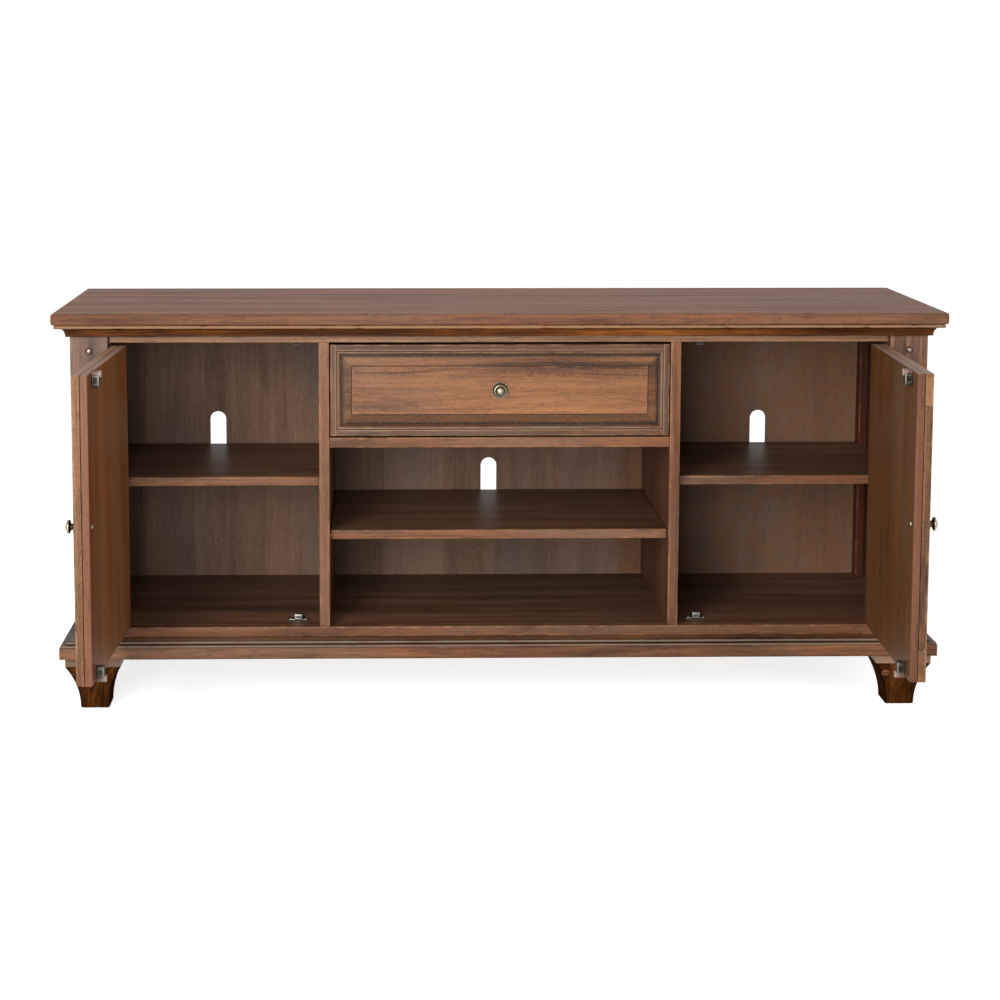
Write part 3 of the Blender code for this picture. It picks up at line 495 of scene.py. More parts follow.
@dataclass(frozen=True)
class Wood:
    """A stained and lacquered wood, with the strengths of what time has done to it."""

    title: str
    light: Colour
    middle: Colour
    dark: Colour
    worn: Colour = (0.33, 0.165, 0.080)
    ashen: Colour = (0.105, 0.066, 0.046)
    streaks: float = 1.6
    grey: float = 0.3
    smudges: float = 0.3
    flecks: float = 0.4
    speckle: float = 0.3
    marks: float = 0.5
    rub: float = 0.4
    stave: float = 0.11
    roughness: float = 0.42
    specular: float = 0.18
    relief: float = 0.35
    pore_depth: ClassVar[float] = 0.0006

    @cache
    def material(self, run: Run | None = None) -> bpy.types.Material:
        """Gives this wood's material.

        Args:
            run: The way of the grain on a mesh that keeps none of its own.

        Returns:
            The material, made once for each way of the grain.
        """
        title = self.title if run is None else f"{self.title}_{run.name.lower()}"
        apart = ("title", "specular", "relief")
        names = [item.name for item in fields(self) if item.name not in apart]
        values = {name.capitalize(): getattr(self, name) for name in names}
        turn = (0.0, 0.0, math.pi / 2) if run is Run.DEEP else (0.0, 0.0, 0.0)
        bump = (self.relief, self.pore_depth)
        made, shader = dressed_material(title, worn_wood, values, run is None, bump, turn)
        shader.inputs["Specular IOR Level"].default_value = self.specular
        return made


@dataclass(frozen=True)
class Metal:
    """An aged metal, bright under a patina."""

    title: str
    bright: Colour
    patina: Colour
    cover: float
    roughness: float
    metallic: float = 1.0
    relief: float = 0.15
    pit_depth: ClassVar[float] = 0.0002

    @cache
    def material(self) -> bpy.types.Material:
        """Gives this metal's material, made once."""
        names = ("bright", "patina", "cover", "roughness")
        values = {name.capitalize(): getattr(self, name) for name in names}
        made, shader = dressed_material(self.title, aged_metal, values, False, (self.relief, self.pit_depth))
        shader.inputs["Metallic"].default_value = self.metallic
        return made


FACE_WOOD = Wood(
    "face_wood", light=(0.225, 0.086, 0.036), middle=(0.125, 0.047, 0.020), dark=(0.036, 0.014, 0.007),
    grey=0.35, smudges=0.50, flecks=0.5, speckle=0.5,
)
TOP_WOOD = replace(
    FACE_WOOD, title="top_wood", light=(0.325, 0.143, 0.078), middle=(0.222, 0.096, 0.053),
    dark=(0.088, 0.037, 0.020), worn=(0.34, 0.16, 0.080), ashen=(0.200, 0.121, 0.085), streaks=2.4,
    grey=0.55, smudges=0.15, rub=0.2, stave=2.0, speckle=0.5, roughness=0.50, specular=0.06,
)
DRAWER_WOOD = replace(
    FACE_WOOD, title="drawer_wood", light=(0.330, 0.138, 0.056), middle=(0.200, 0.082, 0.034), smudges=0.4,
    grey=0.3, flecks=0.38, speckle=0.9, ashen=(0.125, 0.085, 0.060),
)
BAND_WOOD = replace(
    FACE_WOOD, title="band_wood", light=(0.205, 0.093, 0.045), middle=(0.106, 0.047, 0.023), grey=0.40,
    smudges=0.40, ashen=(0.120, 0.085, 0.065), worn=(0.260, 0.158, 0.090), rub=0.50, streaks=1.6,
)
# Its worn colour shows on rubbed arrises and on the top end, where it is a painted sheen.
DOOR_WOOD = replace(
    DRAWER_WOOD, title="door_wood", light=(0.300, 0.134, 0.053), middle=(0.190, 0.085, 0.034), flecks=0.7,
    smudges=0.25, grey=0.1, worn=(0.32, 0.200, 0.125), rub=0.60,
)
DOOR_EDGE_WOOD = replace(
    DOOR_WOOD, title="door_edge_wood", light=(0.200, 0.076, 0.034), middle=(0.138, 0.052, 0.023),
    flecks=0.45, streaks=1.2,
)
CROWN_WOOD = replace(
    FACE_WOOD, title="crown_wood", light=(0.265, 0.085, 0.015), middle=(0.092, 0.026, 0.005),
    dark=(0.022, 0.007, 0.002), grey=0.0, smudges=0.75, worn=(0.30, 0.170, 0.090), rub=0.70, specular=0.06,
    streaks=2.6,
)
RAIL_WOOD = replace(
    FACE_WOOD, title="rail_wood", light=(0.400, 0.215, 0.125), middle=(0.260, 0.130, 0.072),
    dark=(0.055, 0.028, 0.016), grey=0.3, smudges=0.45,
)
POST_WOOD = replace(
    FACE_WOOD, title="post_wood", light=(0.215, 0.108, 0.062), middle=(0.118, 0.057, 0.033),
    dark=(0.026, 0.012, 0.008), ashen=(0.128, 0.097, 0.077), grey=0.5, smudges=0.85, streaks=2.6,
)
# A lighter copy of the posts' wood for the right post: painted light, since the right post stands brighter
# than the left.
LIT_POST_WOOD_RIGHT = replace(
    POST_WOOD, title="post_wood_right", light=(0.355, 0.178, 0.102), middle=(0.205, 0.099, 0.055),
    ashen=(0.210, 0.155, 0.118), grey=0.35,
)
BASE_WOOD = replace(
    FACE_WOOD, title="base_wood", light=(0.270, 0.105, 0.040), middle=(0.133, 0.050, 0.020), grey=0.3,
    smudges=0.6, ashen=(0.165, 0.112, 0.080), worn=(0.175, 0.133, 0.100), rub=0.80, streaks=2.2,
)
FOOT_WOOD = replace(
    FACE_WOOD, title="foot_wood", light=(0.130, 0.040, 0.009), middle=(0.046, 0.014, 0.003),
    dark=(0.008, 0.003, 0.0015), grey=0.0, smudges=0.9, streaks=2.6, roughness=0.50,
    worn=(0.28, 0.15, 0.07), rub=0.5, specular=0.0,
)
PLUG_WOOD = replace(
    FOOT_WOOD, title="plug_wood", light=(0.17, 0.066, 0.027), middle=(0.09, 0.033, 0.013), smudges=0.5,
)
# A much paler copy of the feet's wood for the collars: painted light on their upright faces.
LIT_COLLAR_WOOD = replace(
    FACE_WOOD, title="collar_wood", light=(0.340, 0.195, 0.115), middle=(0.200, 0.108, 0.062), grey=0.4,
    smudges=0.5, ashen=(0.190, 0.135, 0.100),
)
EDGE_WOOD = replace(
    FACE_WOOD, title="edge_wood", light=(0.268, 0.108, 0.046), middle=(0.165, 0.065, 0.027), grey=0.4,
    smudges=0.45, ashen=(0.152, 0.100, 0.070),
)
SHELF_WOOD = Wood(
    "shelf_wood", light=(0.184, 0.088, 0.048), middle=(0.110, 0.051, 0.028), dark=(0.044, 0.021, 0.012),
    worn=(0.24, 0.11, 0.055), ashen=(0.080, 0.050, 0.034), grey=0.3, smudges=0.30, flecks=0.35, marks=0.2,
    rub=0.3, roughness=0.42, specular=0.05, relief=0.2, streaks=1.7, speckle=0.8,
)
BACK_WOOD = Wood(
    "back_wood", light=(0.262, 0.154, 0.100), middle=(0.172, 0.099, 0.064), dark=(0.072, 0.040, 0.025),
    worn=(0.200, 0.088, 0.040), ashen=(0.110, 0.084, 0.070), grey=0.7, smudges=0.2, flecks=0.20, marks=0.3,
    stave=0.128, rub=0.6, roughness=0.62, specular=0.10, streaks=0.9, speckle=1.2, relief=0.2,
)
INNER_WOOD = replace(
    BACK_WOOD, title="inner_wood", light=(0.165, 0.064, 0.028), middle=(0.100, 0.037, 0.017),
    dark=(0.040, 0.015, 0.008), grey=0.2, roughness=0.42, stave=0.13, streaks=1.7, speckle=0.3, flecks=0.35,
)
# A darker copy of the inner wood for the rear posts: painted shade of the back corners.
SHADED_REAR_POST_WOOD = replace(
    INNER_WOOD, title="rear_post_wood", light=(0.120, 0.034, 0.014), middle=(0.062, 0.015, 0.006),
)
# The backing woods' worn colour shows only on the door's top end, where it is a painted sheen.
DOOR_BACK_LEFT = Wood(
    "door_back_wood_left", light=(0.285, 0.107, 0.036), middle=(0.194, 0.066, 0.021),
    dark=(0.090, 0.030, 0.011), ashen=(0.150, 0.086, 0.042), worn=(0.30, 0.205, 0.165), grey=0.35,
    smudges=0.15, flecks=0.3, marks=0.35, rub=0.7, stave=0.12, roughness=0.46, specular=0.08, streaks=1.4,
    speckle=0.8,
)
# A darker, greyer copy of the backing wood for the right door: painted shade on its inner face.
SHADED_DOOR_BACK_RIGHT = replace(
    DOOR_BACK_LEFT, title="door_back_wood_right", light=(0.170, 0.067, 0.025), middle=(0.106, 0.039, 0.014),
    dark=(0.050, 0.019, 0.008), ashen=(0.098, 0.062, 0.038), grey=0.6, streaks=1.6, speckle=1.1,
)
DRAWER_BOX_WOOD = Wood(
    "drawer_box_wood", light=(0.560, 0.400, 0.250), middle=(0.460, 0.310, 0.180),
    dark=(0.300, 0.180, 0.095), ashen=(0.40, 0.30, 0.20), grey=0.2, smudges=0.03, flecks=0.3, marks=0.2,
    roughness=0.6, streaks=1.1,
)
BRONZE = Metal("dark_bronze", (0.400, 0.330, 0.235), (0.034, 0.027, 0.017), cover=0.90, roughness=0.26)
BRASS = Metal("aged_brass", (0.420, 0.310, 0.170), (0.060, 0.042, 0.025), cover=0.65, roughness=0.32)
CATCH_METAL = Metal("catch_metal", (0.26, 0.25, 0.23), (0.035, 0.029, 0.025), cover=0.74, roughness=0.36)
POLE_STEEL = Metal("pole_steel", (0.48, 0.46, 0.43), (0.12, 0.105, 0.09), cover=0.45, roughness=0.30)
SCREW_STEEL = Metal("screw_steel", (0.55, 0.52, 0.47), (0.12, 0.10, 0.085), cover=0.50, roughness=0.30)
STRIKE_STEEL = Metal(
    "strike_steel", (0.165, 0.145, 0.118), (0.014, 0.012, 0.010), cover=0.88, roughness=0.42, relief=0.6,
)
STRIKE_NOSE = Metal(
    "strike_nose", (0.40, 0.30, 0.23), (0.090, 0.052, 0.036), cover=0.60, roughness=0.45, metallic=0.4,
)
STUD_BRONZE = Metal("stud_bronze", (0.380, 0.280, 0.215), (0.050, 0.029, 0.021), cover=0.90, roughness=0.25)
# A darker copy of the catch metal for the catches under the top: painted shade.
SHADED_CATCH_METAL = Metal(
    "dark_catch_metal", (0.060, 0.052, 0.045), (0.020, 0.016, 0.013), cover=0.75, roughness=0.45,
)


def new_shape() -> Shape:
    """Gives an empty mesh with layers for wear, grime and the grain's own coordinates."""
    shape = bmesh.new()
    shape.verts.layers.float.new("wear")
    shape.verts.layers.float.new("grime")
    shape.verts.layers.float_vector.new("grain")
    return shape


def mark(
    shape: Shape, verts: Iterable[Vert], wear: float | None = None, grime: float | None = None,
) -> None:
    """Sets how worn or dirty some points are, which in places stands for painted shade or a painted sheen.

    Args:
        shape: The mesh.
        verts: Its points.
        wear: Their wear, from 0 to 1, or RUBBED, which on a door's top end paints a sheen.
        grime: Their grime, from 0 to 1; in places it stands for painted shade.
    """
    for name, value in (("wear", wear), ("grime", grime)):
        if value is None:
            continue
        layer = shape.verts.layers.float[name]
        for vert in verts:
            vert[layer] = value


def skin(shape: Shape, first: Sequence[Vert], second: Sequence[Vert]) -> None:
    """Joins two rings of points with a band of four-sided faces."""
    for index in range(len(first)):
        shape.faces.new((first[index - 1], first[index], second[index], second[index - 1]))


def ease_edges(shape: Shape, ease: float, line: float, segments: int) -> Shape:
    """Rounds the sharp arrises, with a line of points inside each flat face, so that wear stays near.

    Args:
        shape: A closed mesh with flat faces.
        ease: Radius of the rounding.
        line: How far inside the arris the line of points lies.
        segments: Facets of the rounding.

    Returns:
        The same mesh.
    """
    bmesh.ops.recalc_face_normals(shape, faces=shape.faces)
    sharp = [edge for edge in shape.edges if edge.calc_face_angle(0.0) > SHARP_ANGLE]
    rounded = bmesh.ops.bevel(
        shape, geom=sharp, offset=ease, segments=segments, profile=0.5, affect="EDGES", clamp_overlap=True,
    )
    curved = set(rounded["faces"])
    flats = [face for face in shape.faces if face not in curved]
    mark(shape, shape.verts, wear=1.0)
    inner: set[Vert] = set()
    for face in flats:
        inset = min(line, 0.3 * min(edge.calc_length() for edge in face.edges))
        bmesh.ops.inset_individual(shape, faces=[face], thickness=inset, use_even_offset=True)
        inner.update(face.verts)
    mark(shape, inner, wear=0.0)
    return shape


def block(
    low: Point, high: Point, ease: float = ARRIS, line: float = WEAR_LINE, segments: int = 3,
) -> Shape:
    """A straight board between two corners, with eased arrises.

    Args:
        low: The lowest corner.
        high: The highest corner.
        ease: Radius of the arrises.
        line: How far the wear reaches from an arris.
        segments: Facets of an arris.

    Returns:
        The mesh.
    """
    shape = new_shape()
    made = bmesh.ops.create_cube(shape, size=1.0)
    size = Vector(high) - Vector(low)
    bmesh.ops.scale(shape, vec=size, verts=made["verts"])
    bmesh.ops.translate(shape, vec=(Vector(high) + Vector(low)) / 2, verts=made["verts"])
    return ease_edges(shape, ease, line, segments)


def soil(shape: Shape, axis: int, level: float, reach: float = 0.0004) -> Shape:
    """Marks the points of a shape beside a joint as dirty.

    Args:
        shape: The mesh.
        axis: The axis across the joint.
        level: Where the joint lies on that axis.
        reach: How far from it the dirt reaches.

    Returns:
        The same mesh.
    """
    mark(shape, [vert for vert in shape.verts if abs(vert.co[axis] - level) < reach], wear=0.0, grime=0.9)
    return shape


def plate(
    outline: Sequence[Flat], thickness: float, place: Place, ease: float, line: float, segments: int = 2,
) -> Shape:
    """A flat plate of any outline, with eased arrises.

    Args:
        outline: The corners, in order.
        thickness: The plate's thickness.
        place: Turns across, up and depth into a point in space.
        ease: Radius of the arrises.
        line: How far the wear reaches from an arris.
        segments: Facets of an arris.

    Returns:
        The mesh.
    """
    shape = new_shape()
    loops = []
    for depth in (0.0, thickness):
        loops.append([shape.verts.new(place(across, up, depth)) for across, up in outline])
        shape.faces.new(loops[-1])
    skin(shape, *loops)
    return ease_edges(shape, ease, line, segments)


def oblong(centres: tuple[Flat, Flat], radius: float, start: float, steps: int) -> list[Flat]:
    """The outline of a shape with two round ends.

    Args:
        centres: The middles of the two ends.
        radius: Their radius.
        start: The angle at which the first end starts, in degrees.
        steps: Facets of each end.

    Returns:
        The points in order.
    """
    points = []
    for number, (x, y) in enumerate(centres):
        for step in range(steps + 1):
            angle = math.radians(start + 180 * (number + step / steps))
            points.append((x + radius * math.cos(angle), y + radius * math.sin(angle)))
    return points


@dataclass(frozen=True)
class Worked:
    """A point of a worked profile, with how worn and how dark the wood is there, from grime and, in the
    crown's cove, from painted shade.
    """

    inset: float
    level: float
    wear: float = 0.0
    grime: float = 0.0


def worked_arc(
    centre: Flat, radius: float, start: float, end: float, steps: int, wear: float, grime: float = 0.0,
) -> list[Worked]:
    """Points of a round stretch in a profile, most worn in its middle and dirtiest at its ends.

    Args:
        centre: The arc's centre, as inset and level.
        radius: Its radius.
        start: Its first angle, in degrees.
        end: Its last angle, in degrees.
        steps: How many facets it has.
        wear: The wear in its middle.
        grime: The dirt at its ends.

    Returns:
        The points in order.
    """
    points = []
    for step in range(steps + 1):
        share = step / steps
        angle = math.radians(start + (end - start) * share)
        crest = math.sin(math.pi * share)
        inset = centre[0] + radius * math.cos(angle)
        level = centre[1] + radius * math.sin(angle)
        points.append(Worked(inset, level, wear * crest, grime * (1 - crest) ** 2))
    return points


def moulding(profile: Sequence[Worked], span: Flat, mitres: Flat, place: Place) -> Shape:
    """Runs a closed profile along an edge, with mitred or square ends.

    Args:
        profile: The points of the profile.
        span: Where the run starts and ends.
        mitres: 1 for an end that is mitred, 0 for a square one.
        place: Turns along, inset and level into a point in space.

    Returns:
        The mesh.
    """
    shape = new_shape()
    ends = []
    for along, mitre, sense in ((span[0], mitres[0], 1), (span[1], mitres[1], -1)):
        shift = SEAM / 2 if mitre else 0.0
        row = []
        for point in profile:
            end = along + sense * (point.inset * mitre + shift)
            vert = shape.verts.new(place(end, point.inset, point.level))
            mark(shape, [vert], point.wear, point.grime)
            row.append(vert)
        ends.append(row)
        shape.faces.new(row)
    skin(shape, *ends)
    return shape


def circle(radius: float, sides: int) -> list[Flat]:
    """Points evenly round a circle about the middle, starting at the right."""
    turns = [2 * math.pi * side / sides for side in range(sides)]
    return [(radius * math.cos(turn), radius * math.sin(turn)) for turn in turns]


def turned(profile: Sequence[Turned], sides: int = 40) -> Shape:
    """Turns a profile about the Z axis.

    Args:
        profile: Radius, height, wear and grime of each point, from the foot to the head.
        sides: Facets round the axis.

    Returns:
        The mesh.
    """
    shape = new_shape()
    rings = []
    for radius, height, wear, grime in profile:
        ring = [shape.verts.new((x, y, height)) for x, y in circle(radius, sides if radius > 0.0 else 1)]
        mark(shape, ring, wear, grime)
        rings.append(ring)
    for low, high in zip(rings, rings[1:]):
        for side in range(sides):
            after = (side + 1) % sides
            corners = [low[side % len(low)], low[after % len(low)]]
            corners += [high[after % len(high)], high[side % len(high)]]
            shape.faces.new(list(dict.fromkeys(corners)))
    return shape


def screw_head(radius: float, height: float = 0.0008) -> Shape:
    """A flat screw head with a cross cut into it, facing up along Z.

    Args:
        radius: The head's radius.
        height: How far it stands proud.

    Returns:
        The mesh.
    """
    arm = 0.62 * radius
    half = 0.13 * radius
    rim_radius = 0.88 * radius
    slot_floor = 0.4 * height
    sides = 20
    cross = [
        (arm, -half), (arm, half), (half, half), (half, arm), (-half, arm), (-half, half), (-arm, half),
        (-arm, -half), (-half, -half), (-half, -arm), (half, -arm), (half, -half),
    ]
    shape = new_shape()
    rim, skirt, foot, lip, floor = (
        [shape.verts.new((x, y, level)) for x, y in outline]
        for outline, level in (
            (circle(rim_radius, sides), height), (circle(radius, sides), 0.35 * height),
            (circle(radius, sides), 0.0), (cross, height), (cross, slot_floor),
        )
    )
    edges = [shape.edges.new((loop[i - 1], loop[i])) for loop in (rim, lip) for i in range(len(loop))]
    bmesh.ops.triangle_fill(shape, use_beauty=True, edges=edges)
    inside = [face for face in shape.faces if all(vert in lip for vert in face.verts)]
    bmesh.ops.delete(shape, geom=inside, context="FACES_ONLY")
    for upper, lower in ((rim, skirt), (skirt, foot), (lip, floor)):
        skin(shape, upper, lower)
    shape.faces.new(foot)
    shape.faces.new(floor)
    mark(shape, rim, wear=1.0)
    mark(shape, floor + foot, grime=1.0)
    return shape


def aim(place: Sequence[float], direction: Sequence[float]) -> Matrix:
    """The placement that stands a Z-up shape on a place, pointing a given way.

    Args:
        place: Where its foot goes.
        direction: Where its Z axis points.

    Returns:
        The placement.
    """
    turn = Vector((0.0, 0.0, 1.0)).rotation_difference(Vector(direction)).to_matrix().to_4x4()
    return Matrix.Translation(Vector(place)) @ turn


@dataclass
class Piece:
    """One named piece of the model, gathered from shapes and then put into the scene."""

    name: str
    body: Body
    slot: Slot
    run: Run = Run.LEVEL
    placement: Matrix = field(default_factory=Matrix)
    mesh: bpy.types.Mesh | None = None

    def add(self, shape: Shape, run: Run | None = None, placement: Matrix | None = None) -> "Piece":
        """Adds a shape to the piece, with its own stretch of grain.

        Args:
            shape: The mesh, which is used up.
            run: The way of its grain, if it isn't the piece's.
            placement: A placement of its own, before the piece's.

        Returns:
            The piece.
        """
        darkening = bmesh.new()
        if self.mesh is None:
            self.mesh = bpy.data.meshes.new(self.name)
            count = 0
        else:
            darkening.from_mesh(self.mesh)
            count = len(darkening.verts)
        draw = random.Random(f"{self.name} {count}")
        offset = Vector([draw.uniform(-20.0, 20.0) for _ in range(3)])
        axes = (run or self.run).value
        if placement is not None:
            bmesh.ops.transform(shape, matrix=placement, verts=shape.verts)
        grain = shape.verts.layers.float_vector["grain"]
        for vert in shape.verts:
            vert[grain] = Vector([vert.co[axis] for axis in axes]) + offset
        bmesh.ops.recalc_face_normals(shape, faces=shape.faces)
        own = bpy.data.meshes.new("shape")
        shape.to_mesh(own)
        shape.free()
        darkening.from_mesh(own)
        bpy.data.meshes.remove(own)
        darkening.to_mesh(self.mesh)
        darkening.free()
        return self

    def rub_above(self, level: float) -> "Piece":
        """Marks what lies above a level as rubbed bare all along, which paints the pale sheen of a lit top
        end.

        Args:
            level: The level.

        Returns:
            The piece itself.
        """
        wear = self.mesh.attributes["wear"]
        for vert in self.mesh.vertices:
            if vert.co.z > level:
                wear.data[vert.index].value = RUBBED
        return self

    def put(self, finish: Wood | Metal, *nodes: str) -> bpy.types.Object:
        """Puts the piece into the scene.

        Args:
            finish: Its finish.
            nodes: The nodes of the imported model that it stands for.

        Returns:
            The new object.
        """
        self.mesh.transform(self.placement)
        self.mesh.shade_smooth()
        self.mesh.set_sharp_from_angle(angle=SHARP_ANGLE)
        self.mesh.materials.append(finish.material())
        made = bpy.data.objects.new(self.name, self.mesh)
        bpy.context.scene.collection.objects.link(made)
        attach(made, self.body.value)
        if nodes:
            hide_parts(*nodes)
        LOG.info("piece %s rides on %s in %s", self.name, self.body.value, finish.title)
        return made


def repaint(node: str, finish: Wood | Metal, run: Run) -> None:
    """Gives a carried-over node its finish.

    Args:
        node: The node's name.
        finish: The finish.
        run: The way of the grain.
    """
    item = frame["nodes"][node]
    material = finish.material(run) if isinstance(finish, Wood) else finish.material()
    item.data.materials.clear()
    item.data.materials.append(material)
    LOG.info("node %s keeps its mesh, in %s", node, finish.title)


def limits(
    node: str, placement: Matrix | None = None, near_top: float | None = None,
) -> tuple[Vector, Vector]:
    """The lowest and highest corners of a node.

    Args:
        node: The node's name.
        placement: The frame to measure it in, if it isn't the world.
        near_top: Measures X and Y only within this distance of its top, which leaves out what stands proud.

    Returns:
        The two corners.
    """
    back = (placement or Matrix()).inverted()
    points = [back @ vert.co for vert in frame["nodes"][node].data.vertices]
    low_z = min(point.z for point in points)
    high_z = max(point.z for point in points)
    if near_top is not None:
        points = [point for point in points if point.z > high_z - near_top]
    low = Vector((min(p.x for p in points), min(p.y for p in points), low_z))
    high = Vector((max(p.x for p in points), max(p.y for p in points), high_z))
    return low, high


@dataclass
class Top:
    """The top slab and the crown moulding under its edge."""

    edge_round: float = 0.0048
    edge_grime: float = 0.40
    edge_wear: float = 0.35
    edge_margin: float = 0.0005
    nose_height: float = 0.0072
    cove_inset: float = 0.0088
    cove_depth: float = 0.0108
    cove_height: float = 0.0152
    crown_depth: float = 0.0272
    lower_ease: float = 0.0008
    steps: int = 12

    def build(self) -> None:
        """Builds the slab and the three mitred lengths of the crown."""
        low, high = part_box("top_slab")
        slab = Piece("top_slab_piece", Body.CASE, Slot.TOP)
        shape = block(low, high, self.edge_round, line=0.005, segments=5)
        margin = self.edge_margin
        # The slab's front edge and its rounding are darkened through the grime mask: painted shade, apart
        # from the lit top.
        edge = [vert for vert in shape.verts if low.z + margin < vert.co.z < high.z - margin]
        mark(shape, edge, wear=self.edge_wear, grime=self.edge_grime)
        slab.add(shape).put(TOP_WOOD, "top_slab")
        crown_low, crown_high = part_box("crown_front")
        run_mouldings("crown", self.profile(crown_low.z, crown_high.z), CROWN_WOOD)

    def profile(self, foot: float, top: float) -> list[Worked]:
        """The crown's profile: a nose bead over a cove that ends in a small fillet.

        Args:
            foot: The crown's lower edge.
            top: Its upper edge.

        Returns:
            The points of the closed profile.
        """
        nose = self.nose_height / 2
        points = worked_arc((nose, top - nose), nose, 90, 270, self.steps, wear=RUBBED, grime=1.0)
        # The cove is darkened through the grime mask from its top down: painted shade under the nose bead.
        for step in range(self.steps + 1):
            share = step / self.steps
            turn = math.pi / 2 * share
            inset = self.cove_inset + self.cove_depth * math.sin(turn)
            level = top - self.nose_height - self.cove_height * (1 - math.cos(turn))
            points.append(Worked(inset, level, 0.0, max(0.0, 1.0 - 2.6 * share)))
        fillet = self.cove_inset + self.cove_depth
        return points + [
            Worked(fillet, foot + self.lower_ease, 0.5), Worked(fillet + self.lower_ease, foot, 0.7),
            Worked(self.crown_depth, foot, 0.0, 0.9), Worked(self.crown_depth, top, 0.0, 0.9),
        ]


def run_mouldings(stem: str, profile: Sequence[Worked], finish: Wood) -> None:
    """Runs one profile along the front and both sides of the case.

    Args:
        stem: The moulding's name in node names.
        profile: Its closed profile.
        finish: Its wood.
    """
    low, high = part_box(f"{stem}_front")
    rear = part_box(f"{stem}_left")[1].y
    front = Piece(f"{stem}_front_piece", Body.CASE, Slot.FACE)
    ends = (low.x, high.x)
    front.add(moulding(profile, ends, (1, 1), lambda along, inset, up: (along, low.y + inset, up)))
    front.put(finish, f"{stem}_front")
    for side in Side:

        def place(along: float, inset: float, up: float) -> Point:
            """Turns along, inset and level into a point on this side."""
            return side.value * (high.x - inset), along, up

        piece = Piece(f"{stem}_{side.word}_piece", Body.CASE, Slot.FACE, Run.DEEP)
        piece.add(moulding(profile, (low.y, rear), (1, 0), place)).put(finish, f"{stem}_{side.word}")


@dataclass
class Base:
    """The base moulding: a flat face under two beads and a fillet."""

    face_height: float = 0.0228
    small_bead: float = 0.0021
    small_inset: float = 0.0010
    step_rise: float = 0.0004
    bead: float = 0.0025
    bead_inset: float = 0.0115
    fillet_inset: float = 0.0165
    board_width: float = 0.120
    edge_round: float = 0.0015
    clear_of_arris: float = 0.004
    clear_of_bead: float = 0.003

    def build(self) -> None:
        """Builds the three mitred lengths of the base."""
        low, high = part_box("base_front")
        run_mouldings("base", self.profile(low.z, high.z), BASE_WOOD)

    def profile(self, foot: float, top: float) -> list[Worked]:
        """The base's profile.

        Args:
            foot: Its lower edge.
            top: Its upper edge.

        Returns:
            The points of the closed profile.
        """
        face_top = foot + self.face_height
        bead_foot = face_top + 2 * self.small_bead + self.step_rise
        bead_top = bead_foot + 2 * self.bead
        ease = self.edge_round
        small = (self.small_inset + self.small_bead, face_top + self.small_bead)
        large = (self.bead_inset + self.bead, bead_foot + self.bead)
        return [
            Worked(self.board_width, foot), Worked(self.clear_of_arris, foot),
            *worked_arc((ease, foot + ease), ease, 270, 180, 5, wear=1.0),
            Worked(0.0, foot + self.clear_of_arris), Worked(0.0, face_top - self.clear_of_bead),
            Worked(0.0, face_top, 0.7),
            *worked_arc(small, self.small_bead, 260, 90, 9, wear=RUBBED, grime=0.8),
            Worked(small[0], small[1] + self.small_bead + 0.0002, 0.2),
            Worked(self.bead_inset, bead_foot, 0.0, 0.9),
            *worked_arc(large, self.bead, 265, 90, 10, wear=RUBBED, grime=0.9),
            Worked(self.fillet_inset, bead_top, 0.0, 0.8), Worked(self.fillet_inset, top, 0.6),
            Worked(self.board_width, top),
        ]


